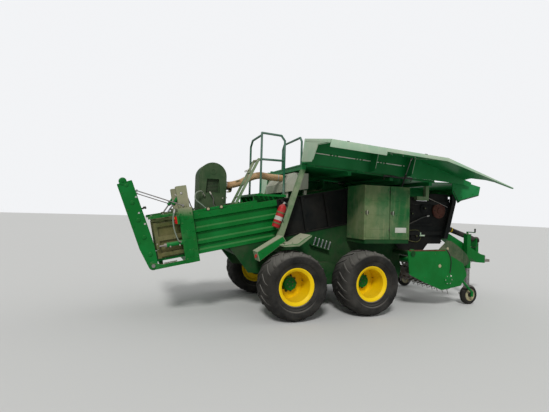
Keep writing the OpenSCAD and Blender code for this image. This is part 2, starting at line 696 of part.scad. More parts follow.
// Twine boxes: open-sided cabinets beside the channel
box_x = 600;
box_split = 1110;
box_end = 1590;
box_low = 1360;
box_high = 2350;
box_y = 1250;
box_in = outer_half + 20;
box_t = 16;
door_pin = 5;
pin_y = box_y + 15;
pin_xs = [box_x + 10, box_end - 10];
module twine_box() {
    difference() {
        span([box_x, box_in, box_low], [box_end, box_y, box_high]);
        span([box_x + box_t, box_in + box_t, box_low + box_t], [box_split, box_y + 1, box_high - box_t]);
        span([box_split + 70, box_in + box_t, box_low + box_t], [box_end - box_t, box_y + 1, box_high - box_t]);
    }
    for (x = pin_xs) translate([x, pin_y, box_low + 1]) cylinder(r = door_pin, h = box_high - box_low - 2);
    for (x = [box_x, box_end - 24]) {
        span([x, box_y - 1, box_high - 6 + seat], [x + 24, box_y + 26, box_high]);
        span([x, box_y - 1, box_low], [x + 24, box_y + 26, box_low + 6 - seat]);
    }
}
module box_door(x_low, x_high) {
    difference() {
        span([x_low, box_y + slack, box_low + 6], [x_high, box_y + slack + 18, box_high - 6]);
        for (x = pin_xs) translate([x, pin_y, box_low]) cylinder(r = door_pin + seat, h = box_high - box_low);
    }
    span([x_low + 40, box_y + slack + 18, 1800], [x_low + 60, box_y + slack + 34, 1900]);
}
module twine_box_right() from_eye() color(green) mirror([0, 1, 0]) twine_box();
module twine_box_left() from_eye() color(green) twine_box();
module twine_doors_left() from_eye() color(green) {
    box_door(box_x, box_split + 20);
    box_door(box_split + 50, box_end);
}
module twine_door_rear() from_eye() color(green) mirror([0, 1, 0]) box_door(box_x, box_split + 20);
module twine_door_front() from_eye() color(green) mirror([0, 1, 0]) box_door(box_split + 50, box_end);

// Fire extinguisher hung on the right rear post
post_lean = atan((post_top - post_foot) / (2600 - 1330));
bottle_r = 72;
module bottle_place() {
    translate([post_foot + (1540 - 1330) * tan(post_lean) - (bottle_r + 8) / cos(post_lean), -815, 1540])
        rotate([0, post_lean, 0]) children();
}
module fire_extinguisher() from_eye() color(red) {
    bottle_place() {
        cylinder(r = bottle_r, h = 360);
        translate([0, 0, 360]) sphere(r = bottle_r);
        translate([0, 0, 420]) cylinder(r = 25, h = 60);
    }
}

// Mudguards over the rear wheels
module mudguards() from_eye() color(pale_green) both_sides() {
    side_plate([[-1297, 977], [-1345, 1135], [-890, 1404], [-832, 1319]], 850, 1100);
    side_plate([[-951, 1240], [-680, 1250], [-560, 1330], [-450, 1420], [-462, 1440], [-590, 1368],
        [-700, 1290], [-951, 1264]], 850, 1330);
}

// Feeder housing: the curved duct from the pickup up into the channel
duct_x = 1700;
duct_z = 1600;
duct_r = 1060;
module feeder_housing() from_eye() color(green) {
    difference() {
        cross_bar(duct_x, duct_z, duct_r, -plate_y + seat, plate_y - seat);
        cross_bar(duct_x, duct_z, duct_r - 40, -plate_y - 1, plate_y + 1);
        side_plate([[0, channel_bottom(0) - seat], [3000, channel_bottom(3000) - seat], [3000, 3000], [0, 3000]],
            -700, 700);
        side_plate([[1900, 0], [3000, 0], [3000, 3000], [1900, 3000]], -700, 700);
        side_plate([[duct_x, duct_z], [1900, 0], [3000, 0], [3000, duct_z]], -700, 700);
    }
}

// Needle yoke under the channel
module needle_yoke() from_eye() color(grey) {
    cross_bar(-700, 1080, 40, -plate_y + seat, plate_y - seat);
    for (y = [-450 : 180 : 450]) side_plate([[-740, 1080], [-660, 1080], [-560, 900], [-620, 890]], y - 10, y + 10);
}

// Gearbox between the frame plates
module gearbox() from_eye() color(grey) {
    span([gearbox_x, -260, gearbox_low], [gearbox_x + 520, 260, gearbox_top]);
    for (side = [-1, 1]) cross_bar(gearbox_x + 200, 1940, 170, side * 330 - 70, side * 330 + 70);
    translate([gearbox_x + 520, 0, fly_z]) rotate([0, 90, 0])
        cylinder(r = 90, h = fly_x - gearbox_x - 520 - seat);
}

// Flywheel on the gearbox's input
fly_x = 2320;
fly_z = 1950;
module flywheel() from_eye() color(green) {
    translate([fly_x, 0, fly_z]) rotate([0, 90, 0]) difference() {
        union() {
            cylinder(r = flywheel_r, h = flywheel_t);
            cylinder(r = 110, h = flywheel_t + 60);
        }
        translate([0, 0, 30]) difference() {
            cylinder(r = flywheel_r - 60, h = flywheel_t);
            cylinder(r = 110, h = flywheel_t);
        }
    }
}

// Drive shaft in its guard, parked on the cradle
shaft_a = [2540, 0, 1900];
shaft_b = [4700, 0, 1250];
socket_r = 22;
socket_len = 80;
shaft_run = (shaft_b - shaft_a) / norm(shaft_b - shaft_a);
module pto_shaft() from_eye() color(black) difference() {
    bar(shaft_a, shaft_b, 60);
    bar(shaft_b - socket_len * shaft_run, shaft_b + 10 * shaft_run, socket_r);
}

// Pickup frame: side sheets, cross tube, stripper bands and gauge wheel arms
reel_x = 2640;
reel_z = 560;
sheet_t = 14;
sheet_outline = [[1640, 1150], [2560, 1170], [2640, 1060], [3020, 880], [3120, 640], [2960, 430],
    [2480, 360], [2020, 540], [1690, 690]];
gauge_x = 3360;
gauge_y = 1010;
gauge_arm_y = gauge_y + gauge_w / 2 + 36;
module pickup_frame() from_eye() color(green) {
    both_sides() difference() {
        union() {
            side_plate(sheet_outline, pickup_half, pickup_half + sheet_t);
            cross_bar(pickup_pivot[0], pickup_pivot[1], 85, pickup_half - 20, pickup_half + sheet_t);
            bar([3000, pickup_half - 20, 560], [gauge_x, gauge_arm_y, gauge_r + 60], 24);
            translate([gauge_x, gauge_arm_y, gauge_r + 60]) sphere(r = 31);
            translate([gauge_x, gauge_arm_y, gauge_r - 24]) cylinder(r = 27, h = 84);
            cross_bar(gauge_x, gauge_r, 19.5, gauge_y - gauge_w / 2 - 4, gauge_y + gauge_w / 2 + 40);
        }
        cross_bar(pickup_pivot[0], pickup_pivot[1], 50 + seat, pickup_half - 40, pickup_half + 60);
    }
    cross_bar(2150, 900, 60, -pickup_half - 1, pickup_half + 1);
}

// Pickup reel: shaft, tine bars and tines
module pickup_reel() from_eye() color(steel) {
    cross_bar(reel_x, reel_z, 60, -pickup_half + seat, pickup_half - seat);
    for (y = [-pickup_half + 24, -8, pickup_half - 40]) cross_bar(reel_x, reel_z, 200, y, y + 16);
    for (k = [0 : tine_rows - 1]) translate([reel_x, 0, reel_z]) rotate([0, k * 360 / tine_rows, 0]) {
        span([166, -pickup_half + 26, -14], [194, pickup_half - 26, 14]);
        for (i = [0 : tine_count - 1]) {
            y = -pickup_half + 90 + i * (2 * pickup_half - 180) / (tine_count - 1);
            span([180, y - 5, -5], [tine_r, y + 5, 5]);
        }
    }
}

// Wind guard: two lobed ends, a roller and a row of fingers over the reel
guard_pivot = [2640, 1000];
guard_y = pickup_half - 270;
guard_roller = [3000, 900];
module wind_guard() from_eye() color(green) {
    both_sides() side_plate([[2600, 960], [2660, 1150], [2780, 1250], [2850, 1318], [2960, 1312], [3170, 1195],
        [3380, 1040], [3490, 883], [3440, 820], [3180, 720], [3040, 760], [2900, 815], [2700, 915]],
        guard_y, guard_y + 14);
    cross_bar(guard_roller[0], guard_roller[1], 80, -guard_y - 1, guard_y + 1);
    cross_bar(guard_pivot[0], guard_pivot[1], 24, -pickup_half + seat, pickup_half - seat);
}

// Gauge wheels beside the pickup
module gauge_wheel() {
    half = gauge_w / 2;
    sides = 20;
    difference() {
        union() {
            difference() {
                hull() {
                    side_plate(ring(gauge_r, sides), -half + 34, half - 34);
                    side_plate(ring(gauge_r - 30, sides), -half, half);
                }
                both_sides() side_plate(ring(gauge_r - 70, sides), 20, half + 1);
            }
            cross_bar(0, 0, 45, -half - 2, half + 2);
        }
        cross_bar(0, 0, 20, -half - 3, half + 3);
    }
}
module gauge_wheel_left() from_eye() color(black) translate([gauge_x, gauge_y, gauge_r]) gauge_wheel();
module gauge_wheel_right() from_eye() color(black) translate([gauge_x, -gauge_y, gauge_r]) gauge_wheel();

// Rear lamps on the density frame
module lamps() from_eye() color(red) {
    along_channel() both_sides() span([post_a - 70, post_y - 30, 570], [post_a - 40, post_y + 50, 690]);
}

// Row of slanted springs on the right frame plate
module tension_springs() from_eye() color(steel) {
    for (x = [-114 : 77 : 194]) bar([x, -700, ledge_top(x) + 0.5], [x + 42, -700, ledge_top(x) + 145], 14);
}

// Main tyres, flat sided with a slanted lug on every face, and their rims
lug_w = 54;
lug_slant = 20;
lug_in = 40;
lug_out = tyre_w / 2 - 14;
// Corners of a regular ring whose flat sides lie at radius r
function ring(r, sides) = [for (k = [0 : sides - 1])
    r / cos(180 / sides) * [cos((k + 0.5) * 360 / sides), sin((k + 0.5) * 360 / sides)]];
module tyre() {
    half = tyre_w / 2;
    core = tyre_r - lug_h;
    sides = 2 * lug_count;
    difference() {
        hull() {
            side_plate(ring(rim_r + 50, sides), -half + 10, half - 10);
            side_plate(ring(core - 120, sides), -half, half);
            side_plate(ring(core, sides), -half + 60, half - 60);
        }
        side_plate(ring(rim_r, sides), -half - 10, half + 10);
        both_sides() hull() {
            side_plate(ring(rim_r - 10, sides), half - 83, half - 82);
            side_plate(ring(rim_r + 60, sides), half + 2, half + 3);
        }
    }
    for (k = [0 : sides - 1]) rotate([0, k * 360 / sides, 0]) mirror([0, k % 2, 0])
        translate([core - 100, 0, -(lug_in + lug_out) / 2 * sin(lug_slant)]) rotate([lug_slant, 0, 0])
            span([0, lug_in, -lug_w / 2], [100 + lug_h, lug_out, lug_w / 2]);
}
module rim() {
    half = tyre_w / 2 - 70;
    bed = rim_r - 60;
    rotate([-90, 0, 0]) rotate_extrude() polygon([
        [stub_r + 1, -215], [110, -215], [110, -190], [bed, -190], [bed, -half + 30],
        [rim_r - 20, -half], [rim_r - seat, -half], [rim_r - seat, half], [rim_r - 20, half],
        [bed, half - 30], [bed, -150], [125, -150], [105, -65], [0, -65], [0, -110], [stub_r + 1, -110]]);
}
module wheel_at(x, side) {
    translate([x, side * wheel_y, hub_z]) mirror([0, side < 0 ? 1 : 0, 0]) children();
}
module tyre_front_left() from_eye() color(black) wheel_at(axle_x, 1) tyre();
module tyre_front_right() from_eye() color(black) wheel_at(axle_x, -1) tyre();
module tyre_rear_left() from_eye() color(black) wheel_at(-axle_x, 1) tyre();
module tyre_rear_right() from_eye() color(black) wheel_at(-axle_x, -1) tyre();
module rim_front_left() from_eye() color(yellow) wheel_at(axle_x, 1) rim();
module rim_front_right() from_eye() color(yellow) wheel_at(axle_x, -1) rim();
module rim_rear_left() from_eye() color(yellow) wheel_at(-axle_x, 1) rim();
module rim_rear_right() from_eye() color(yellow) wheel_at(-axle_x, -1) rim();

main_frame();
tandem_axle();
drawbar();
tow_eye();
jack_tube();
jack_foot();
channel();
plunger_case();
density_frame();
density_cylinders();
tension_door_left();
tension_door_right();
tension_rail_top();
bale_chute();
chute_stay();
blower_housing();
air_hose();
knotter_cover();
platform();
guard_rails();
ladder();
hood_roof();
hood_posts();
front_hood();
front_pillars();
side_panel_left();
side_panel_right();
panel_flange_left();
panel_flange_right();
strut_barrel_left();
strut_barrel_right();
strut_rod_left();
strut_rod_right();
twine_box_left();
twine_box_right();
twine_door_rear();
twine_door_front();
twine_doors_left();
fire_extinguisher();
mudguards();
feeder_housing();
needle_yoke();
gearbox();
flywheel();
pto_shaft();
pickup_frame();
pickup_reel();
wind_guard();
gauge_wheel_left();
gauge_wheel_right();
lamps();
tension_springs();
tyre_front_left();
tyre_front_right();
tyre_rear_left();
tyre_rear_right();
rim_front_left();
rim_front_right();
rim_rear_left();
rim_rear_right();
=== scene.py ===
"""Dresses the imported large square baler: finishes for its plates, and fittings too small for its solids.

Lengths are metres. The pieces are drawn in the machine's own frame, where x is 0 midway between the
axles, y is 0 in the middle, z is 0 on the ground and +X runs forward. MACHINE carries them to the
part's frame."""

import math
from contextlib import contextmanager

import bmesh
import bpy
from mathutils import Matrix, Vector


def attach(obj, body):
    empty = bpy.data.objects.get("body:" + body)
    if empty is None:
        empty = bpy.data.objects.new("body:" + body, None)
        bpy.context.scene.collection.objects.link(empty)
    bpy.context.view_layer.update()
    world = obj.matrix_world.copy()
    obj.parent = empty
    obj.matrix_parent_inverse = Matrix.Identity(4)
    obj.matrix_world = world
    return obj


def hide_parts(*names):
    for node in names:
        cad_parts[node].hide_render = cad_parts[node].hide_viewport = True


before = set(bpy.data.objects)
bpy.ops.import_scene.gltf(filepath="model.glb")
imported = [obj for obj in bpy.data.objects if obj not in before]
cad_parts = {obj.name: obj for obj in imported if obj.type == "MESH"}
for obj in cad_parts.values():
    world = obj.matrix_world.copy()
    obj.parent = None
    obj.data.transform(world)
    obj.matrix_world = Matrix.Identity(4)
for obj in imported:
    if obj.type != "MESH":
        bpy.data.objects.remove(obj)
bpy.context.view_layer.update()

bl_info = {
    "name": "Large Square Baler",
    "version": (1, 0, 0),
    "blender": (4, 5, 0),
    "location": "3D View > Sidebar > Baler",
    "description": "Finishes and fittings of a towed large square baler on a tandem axle",
    "category": "Add Mesh",
}

EYE = Vector((5.0, 0.0, 0.76))
AXLE_X = 0.725
AXLE_Z = 0.58
TYRE_Y = 1.15
REEL_X, REEL_Z = 2.64, 0.56
TINE_ROWS = 5
TINES = 16
TINE_FIRST, TINE_SPAN = -1.09, 2.18
SHAFT_X, SHAFT_Z = 1.90, 1.94
FLYWHEEL_Z = 1.95
JACK_X, JACK_Y = 4.15, -0.22
FRAME_FACE = 0.6445
SPRING_SLOPE = -0.28
CHANNEL_SLOPE = math.radians(10.8)
CHUTE_LEAN = math.radians(-20)
HINGE_X, HINGE_Y, HINGE_Z = -0.5, 0.9, 2.69
PANEL_SLOPE = math.radians(3)
PANEL_SWING = math.radians(80)
NOSE_LEAN = math.radians(12)

UP = (0, 0, 1)
FORWARD = (1, 0, 0)
ACROSS = (0, 1, 0)
SIDE_NAMES = {-1: "right", 1: "left"}


def at(x, y, z):
    """A point of the machine's frame, as a vector of the part's frame."""
    return Vector((x, y, z)) - EYE


MACHINE = Matrix.Translation(-EYE)
MIRROR = Matrix.Diagonal((1, -1, 1, 1))
STANDING = Matrix.Rotation(math.radians(90), 4, "X")
CHANNEL = Matrix.Translation(at(-2.9, 0, 0.936)) @ Matrix.Rotation(-CHANNEL_SLOPE, 4, "Y")
CHUTE = Matrix.Translation(at(-2.965, 0, 0.88)) @ Matrix.Rotation(CHUTE_LEAN, 4, "Y")
SHUT_PANEL = Matrix.Translation(at(HINGE_X, HINGE_Y, HINGE_Z)) @ Matrix.Rotation(PANEL_SLOPE, 4, "Y")
OPEN_PANEL = MIRROR @ SHUT_PANEL @ Matrix.Rotation(PANEL_SWING, 4, "X")


# Spacing


def row(first, step, count):
    """Evenly spaced values."""
    return [first + step * k for k in range(count)]


def grid(firsts, seconds):
    """Each of the first values with each of the second."""
    return [(a, b) for a in firsts for b in seconds]


def turns(place, count, axis="Z", shift=0.0):
    """A place turned evenly round one of its axes. shift is a share of a step."""
    return [place @ Matrix.Rotation((k + shift) * math.tau / count, 4, axis) for k in range(count)]


def smooth_line(points, steps=6):
    """A rounder line through the same points, with some steps between each two."""
    points = [Vector(p) for p in points]
    line = []
    for i in range(len(points) - 1):
        before = points[max(i - 1, 0)]
        a, b = points[i], points[i + 1]
        after = points[min(i + 2, len(points) - 1)]
        for k in range(steps):
            t = k / steps
            line.append(0.5 * (2 * a + (b - before) * t + (2 * before - 5 * a + 4 * b - after) * t ** 2
                               + (3 * a - before - 3 * b + after) * t ** 3))
    line.append(points[-1])
    return line


def stand_along(origin, direction):
    """A frame at origin whose Z runs along direction."""
    turn = Vector(direction).normalized().to_track_quat("Z", "Y")
    return Matrix.Translation(Vector(origin)) @ turn.to_matrix().to_4x4()


# Outlines of turned shapes, as radius and height


def boss(radius, wall, crown, height, base=0, tip=None):
    """A round boss: a straight wall, a chamfer to the crown, and the height of its middle."""
    return [(0, base), (radius, base), (radius, wall), (crown, height), (0, height if tip is None else tip)]


def collar(inner, outer, low, high):
    """A plain ring."""
    return [(inner, low), (outer, low), (outer, high), (inner, high)]


# Shapes


def round_edges(bm, edges, offset):
    """Bevels edges of a mesh."""
    bmesh.ops.bevel(bm, geom=edges, offset=offset, segments=2, profile=0.5, affect="EDGES", material=-1)


def link_object(name, data):
    """A new object in the scene."""
    made = bpy.data.objects.new(name, data)
    bpy.context.scene.collection.objects.link(made)
    return made


class Piece:
    """A mesh piece in the making. Every shape it is given has its own finish."""

    def __init__(self, name, body, slot, where=MACHINE):
        self.name = name
        self.body = body
        self.slot = slot
        self.where = where
        self.bm = bmesh.new()
        self.finishes = []

    @contextmanager
    def shape(self, finish, place=None):
        """A small mesh to build in, which joins the piece when the block ends."""
        if finish not in self.finishes:
            self.finishes.append(finish)
        bm = bmesh.new()
        yield bm
        matrix = self.where if place is None else self.where @ place
        bmesh.ops.transform(bm, matrix=matrix, verts=bm.verts)
        bmesh.ops.recalc_face_normals(bm, faces=bm.faces)
        for face in bm.faces:
            face.material_index = self.finishes.index(finish)
            face.smooth = True
        scratch = bpy.data.meshes.new("scratch")
        bm.to_mesh(scratch)
        bm.free()
        self.bm.from_mesh(scratch)
        bpy.data.meshes.remove(scratch)

    def block(self, low, high, finish, edge=0.003, turn=None):
        """A box between two corners with rounded edges, turned about its middle."""
        low, high = Vector(low), Vector(high)
        place = Matrix.Translation((low + high) / 2) @ (turn or Matrix())
        with self.shape(finish, place) as bm:
            bmesh.ops.create_cube(bm, size=1, matrix=Matrix.Diagonal((*(high - low), 1)))
            if edge:
                round_edges(bm, bm.edges[:], edge)

    def slab(self, y, half, low, high, finish, edge=0.003):
        """A block between two corners in x and z that reaches half each way from y."""
        self.block((low[0], y - half, low[1]), (high[0], y + half, high[1]), finish, edge)

    def rod(self, a, b, radius, finish, sides=12, end_radius=None, edge=0.0):
        """A round bar from one point to another, tapered where end_radius is given."""
        a, b = Vector(a), Vector(b)
        far = radius if end_radius is None else end_radius
        place = stand_along((a + b) / 2, b - a)
        with self.shape(finish, place) as bm:
            bmesh.ops.create_cone(bm, cap_ends=True, segments=sides, radius1=radius, radius2=far,
                                  depth=(b - a).length)
            if edge:
                rims = [e for e in bm.edges if abs(e.verts[0].co.z - e.verts[1].co.z) < 1e-6]
                round_edges(bm, rims, edge)

    def tube(self, points, radius, finish, sides=8, radii=None):
        """A round tube through points. radii gives each point its own share of the radius."""
        points = [Vector(p) for p in points]
        with self.shape(finish) as bm:
            ahead = (points[1] - points[0]).normalized()
            turn = ahead.to_track_quat("Z", "Y")
            size = radii[0] if radii else 1
            bmesh.ops.create_circle(bm, cap_ends=True, segments=sides, radius=radius * size,
                                    matrix=Matrix.Translation(points[0]) @ turn.to_matrix().to_4x4())
            face = bm.faces[:][0]
            for i in range(1, len(points)):
                grown = bmesh.ops.extrude_face_region(bm, geom=[face])["geom"]
                face = next(g for g in grown if isinstance(g, bmesh.types.BMFace))
                onward = points[i + 1] - points[i] if i + 1 < len(points) else points[i] - points[i - 1]
                facing = ((points[i] - points[i - 1]).normalized() + onward.normalized()).normalized()
                bend = ahead.rotation_difference(facing)
                ahead = facing
                scale = (radii[i] / size) if radii else 1
                size = radii[i] if radii else 1
                move = (Matrix.Translation(points[i]) @ bend.to_matrix().to_4x4()
                        @ Matrix.Scale(scale, 4) @ Matrix.Translation(-points[i - 1]))
                bmesh.ops.transform(bm, matrix=move, verts=face.verts[:])

    def lathe(self, outline, finish, place, sides):
        """A turned shape. The outline is a closed loop of radius and height round place's Z."""
        with self.shape(finish, place) as bm:
            verts = [bm.verts.new((r, 0, h)) for r, h in outline]
            edges = [bm.edges.new((verts[i - 1], verts[i])) for i in range(len(verts))]
            bmesh.ops.spin(bm, geom=verts + edges, cent=(0, 0, 0), axis=(0, 0, 1), angle=math.tau,
                           steps=sides, use_merge=True)
            bmesh.ops.remove_doubles(bm, verts=bm.verts, dist=1e-5)

    def turned(self, outline, finish, point, direction, sides):
        """A turned shape that stands on a point and faces direction."""
        self.lathe(outline, finish, stand_along(point, direction), sides)

    def plate(self, outline, thickness, finish, place, edge=0.002):
        """A flat plate: an outline in place's X and Y, thickened along its Z."""
        with self.shape(finish, place) as bm:
            face = bm.faces.new([bm.verts.new((x, y, 0)) for x, y in outline])
            grown = bmesh.ops.extrude_face_region(bm, geom=[face])["geom"]
            top = [g for g in grown if isinstance(g, bmesh.types.BMVert)]
            bmesh.ops.translate(bm, vec=(0, 0, thickness), verts=top)
            if edge:
                round_edges(bm, bm.edges[:], edge)

    def strip(self, line, thickness, y_low, y_high, finish):
        """A bent flat bar: a line in x and z given a thickness, from y_low to y_high."""
        line = [Vector((x, 0, z)) for x, z in line]
        inner = []
        for i, point in enumerate(line):
            run = (line[min(i + 1, len(line) - 1)] - line[max(i - 1, 0)]).normalized()
            inner.append(point + Vector((run.z, 0, -run.x)) * thickness)
        outline = [(v.x, v.z) for v in line + inner[::-1]]
        self.plate(outline, y_high - y_low, finish, Matrix.Translation((0, y_high, 0)) @ STANDING, 0)

    def bolt(self, point, direction, across=0.022, finish="zinc"):
        """A hexagon head on its washer, facing direction."""
        place = stand_along(point, direction)
        height = across * 0.35
        with self.shape(finish, place) as bm:
            bmesh.ops.create_cone(bm, cap_ends=True, segments=12, radius1=across * 0.75,
                                  radius2=across * 0.72, depth=height * 0.3,
                                  matrix=Matrix.Translation((0, 0, height * 0.15)))
            bmesh.ops.create_cone(bm, cap_ends=True, segments=6, radius1=across * 0.55,
                                  radius2=across * 0.5, depth=height,
                                  matrix=Matrix.Translation((0, 0, height * 0.75)))

    def side_bolts(self, side, y, spots, across, finish="zinc"):
        """Bolts on an upright face at y that faces side, each at an x and a z."""
        for x, z in spots:
            self.bolt((x, y, z), (0, side, 0), across, finish)

    def top_bolts(self, z, spots, across, finish="zinc"):
        """Bolts on a level face at z, each at an x and a y."""
        for x, y in spots:
            self.bolt((x, y, z), UP, across, finish)

    def bolt_ring(self, side, centre, radius, count, across, finish="zinc", last=math.tau):
        """Bolts on a circle, or on part of one, on an upright face that faces side."""
        x, y, z = centre
        for k in range(count):
            angle = k * last / (count if last == math.tau else count - 1)
            self.bolt((x + radius * math.cos(angle), y, z + radius * math.sin(angle)), (0, side, 0), across,
                      finish)

    def hose(self, points, radius, finish="hose_rubber", steps=6, ends=True):
        """A hose through points, with a crimped fitting at each end."""
        line = smooth_line(points, steps)
        self.tube(line, radius, finish)
        if ends:
            for tip, inner in ((line[0], line[1]), (line[-1], line[-2])):
                back = (tip - inner).normalized()
                self.rod(tip - back * 0.035, tip + back * 0.012, radius * 1.35, "zinc", 10)
                self.rod(tip + back * 0.010, tip + back * 0.030, radius * 1.5, "zinc", 6)

    def spring(self, a, b, radius, wire, coils, finish):
        """A coil spring between two points, with flat end turns."""
        a, b = Vector(a), Vector(b)
        place = stand_along(a, b - a)
        length = (b - a).length
        steps = 12
        flat = 0.7
        points = []
        for k in range(int(coils * steps) + 1):
            angle = k * math.tau / steps
            rise = min(max((k / steps - flat) / (coils - 2 * flat), 0), 1) * length
            points.append(place @ Vector((radius * math.cos(angle), radius * math.sin(angle), rise)))
        self.tube(points, wire, finish, 6)

    def cylinder(self, a, b, radius, finish="green_paint"):
        """The barrel of a hydraulic cylinder with its gland, cap and two ports."""
        a, b = Vector(a), Vector(b)
        run = (b - a).normalized()
        self.rod(a, b, radius, finish, 24, edge=0.002)
        self.rod(b - run * 0.035, b + run * 0.004, radius * 1.14, finish, 24, edge=0.003)
        self.rod(a - run * 0.004, a + run * 0.03, radius * 1.14, finish, 24, edge=0.003)
        side = run.orthogonal().normalized()
        for point in (a + run * 0.05, b - run * 0.05):
            self.rod(point, point + side * (radius + 0.022), 0.012, "zinc", 8)

    def finish(self, *replaced):
        """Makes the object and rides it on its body."""
        mesh = bpy.data.meshes.new(self.name)
        self.bm.to_mesh(mesh)
        self.bm.free()
        mesh.set_sharp_from_angle(angle=math.radians(32))
        for name in self.finishes:
            mesh.materials.append(finish_of(name))
        made = link_object(self.name, mesh)
        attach(made, self.body)
        if replaced:
            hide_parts(*replaced)


# Shader groups


def linked(tree, kind, inputs=None, **settings):
    """A new node. An input is a plain value, or the socket that feeds it."""
    node = tree.nodes.new(kind)
    for name, value in settings.items():
        setattr(node, name, value)
    for name, value in (inputs or {}).items():
        socket = node.inputs[name]
        if isinstance(value, bpy.types.NodeSocket):
            tree.links.new(value, socket)
        else:
            socket.default_value = value
    return node


def added(tree, a, b, **settings):
    """The sum of two values or sockets."""
    return linked(tree, "ShaderNodeMath", {0: a, 1: b}, operation="ADD", **settings).outputs[0]


def times(tree, a, b, **settings):
    """The product of two values or sockets."""
    return linked(tree, "ShaderNodeMath", {0: a, 1: b}, operation="MULTIPLY", **settings).outputs[0]


def greater(tree, a, b):
    """The greater of two values or sockets."""
    return linked(tree, "ShaderNodeMath", {0: a, 1: b}, operation="MAXIMUM").outputs[0]


def blended(tree, share, a, b):
    """Colour a turning to colour b as share goes from 0 to 1."""
    return linked(tree, "ShaderNodeMix", {0: share, 6: a, 7: b}, data_type="RGBA").outputs[2]


def ramped(tree, value, low, high):
    """0 where value is under low, 1 where it is over high, smooth between."""
    return linked(tree, "ShaderNodeMapRange", {"Value": value, "From Min": low, "From Max": high},
                  interpolation_type="SMOOTHSTEP").outputs[0]


def mapped(tree, value, low, high):
    """low where value is 0, high where it is 1."""
    return linked(tree, "ShaderNodeMapRange", {"Value": value, "To Min": low, "To Max": high}).outputs[0]


def clouds(tree, scale, detail, roughness=0.5, stretch=None):
    """Soft noise on the piece's own coordinates, stretched along them where that is given."""
    here = linked(tree, "ShaderNodeTexCoord").outputs["Object"]
    if stretch:
        here = linked(tree, "ShaderNodeMapping", {"Vector": here, "Scale": stretch}).outputs[0]
    return linked(tree, "ShaderNodeTexNoise", {"Vector": here, "Scale": scale, "Detail": detail,
                                               "Roughness": roughness}).outputs["Fac"]


def new_group(name, inputs, outputs):
    """An empty shader group with these sockets; each input is a name, a type and a default."""
    tree = bpy.data.node_groups.new(name, "ShaderNodeTree")
    for label, kind, value in inputs:
        socket = tree.interface.new_socket(name=label, in_out="INPUT", socket_type="NodeSocket" + kind)
        socket.default_value = value
    for label, kind in outputs:
        tree.interface.new_socket(name=label, in_out="OUTPUT", socket_type="NodeSocket" + kind)
    return tree, tree.nodes.new("NodeGroupInput").outputs, tree.nodes.new("NodeGroupOutput").inputs


def make_dust_and_top_light_group():
    """Straw dust in hollows of a noise and above a height, and on what faces up a layer that is partly
    settled dust and partly painted light on top faces.
    """
    tree, given, out = new_group(
        "Straw Dust and Painted Top Light",
        [("Colour", "Color", (0.1, 0.1, 0.1, 1)), ("Dust and Top Light Colour", "Color", (0.4, 0.36, 0.26, 1)),
         ("Cover", "Float", 0.2), ("On Top", "Float", 0.7), ("High From", "Float", 9.0),
         ("High To", "Float", 10.0), ("Scale", "Float", 2.0)],
        [("Colour", "Color"), ("Mask", "Float")])
    coords = linked(tree, "ShaderNodeTexCoord").outputs
    up = linked(tree, "ShaderNodeSeparateXYZ", {0: coords["Normal"]}).outputs[2]
    height = linked(tree, "ShaderNodeSeparateXYZ", {0: coords["Object"]}).outputs[2]
    drifts = clouds(tree, given["Scale"], 6.0, 0.65)
    grains = clouds(tree, 90.0, 2.0)
    thin = times(tree, ramped(tree, drifts, 0.38, 0.68), given["Cover"])
    # What faces up takes settled dust and painted light on top faces.
    top_dust_and_light = times(tree, times(tree, ramped(tree, up, 0.25, 0.95), given["On Top"]),
                 added(tree, times(tree, drifts, 0.7), 0.62))
    above = linked(tree, "ShaderNodeMapRange", {"Value": height, "From Min": given["High From"],
                                                "From Max": given["High To"]}).outputs[0]
    high = times(tree, above, added(tree, times(tree, drifts, 0.6), 0.5))
    cover = greater(tree, greater(tree, thin, top_dust_and_light), high)
    mask = times(tree, cover, added(tree, times(tree, grains, 0.5), 0.72), use_clamp=True)
    tree.links.new(blended(tree, mask, given["Colour"], given["Dust and Top Light Colour"]), out["Colour"])
    tree.links.new(mask, out["Mask"])
    return tree


def make_wear_group():
    """Paint worn through along the edges, in places."""
    tree, given, out = new_group(
        "Worn Edges",
        [("Colour", "Color", (0.1, 0.1, 0.1, 1)), ("Worn Colour", "Color", (0.3, 0.2, 0.1, 1)),
         ("Amount", "Float", 0.5), ("Scale", "Float", 12.0)],
        [("Colour", "Color"), ("Mask", "Float")])
    rounded = linked(tree, "ShaderNodeBevel", {"Radius": 0.006}, samples=4).outputs[0]
    true = linked(tree, "ShaderNodeNewGeometry").outputs["Normal"]
    level = linked(tree, "ShaderNodeVectorMath", {0: rounded, 1: true},
                   operation="DOT_PRODUCT").outputs["Value"]
    bend = linked(tree, "ShaderNodeMath", {0: 1.0, 1: level}, operation="SUBTRACT").outputs[0]
    patch = ramped(tree, clouds(tree, given["Scale"], 5.0), 0.45, 0.62)
    mask = times(tree, times(tree, ramped(tree, bend, 0.02, 0.2), patch), given["Amount"], use_clamp=True)
    tree.links.new(blended(tree, mask, given["Colour"], given["Worn Colour"]), out["Colour"])
    tree.links.new(mask, out["Mask"])
    return tree


def make_mottle_group():
    """A colour that drifts to a second one in patches and in runs down the sides."""
    tree, given, out = new_group(
        "Mottled Colour",
        [("Colour", "Color", (0.1, 0.1, 0.1, 1)), ("Second Colour", "Color", (0.2, 0.2, 0.2, 1)),
         ("Amount", "Float", 0.5), ("Scale", "Float", 1.5), ("Runs", "Float", 0.3)],
        [("Colour", "Color"), ("Height", "Float")])
    patch = times(tree, ramped(tree, clouds(tree, given["Scale"], 5.0, 0.6), 0.4, 0.66), given["Amount"])
    runs = clouds(tree, 3.0, 5.0, 0.6, (6, 6, 0.5))
    streak = times(tree, ramped(tree, runs, 0.5, 0.72), given["Runs"])
    share = added(tree, patch, streak, use_clamp=True)
    tree.links.new(blended(tree, share, given["Colour"], given["Second Colour"]), out["Colour"])
    fine = clouds(tree, 45.0, 6.0, 0.6)
    tree.links.new(added(tree, times(tree, fine, 0.4), share), out["Height"])
    return tree
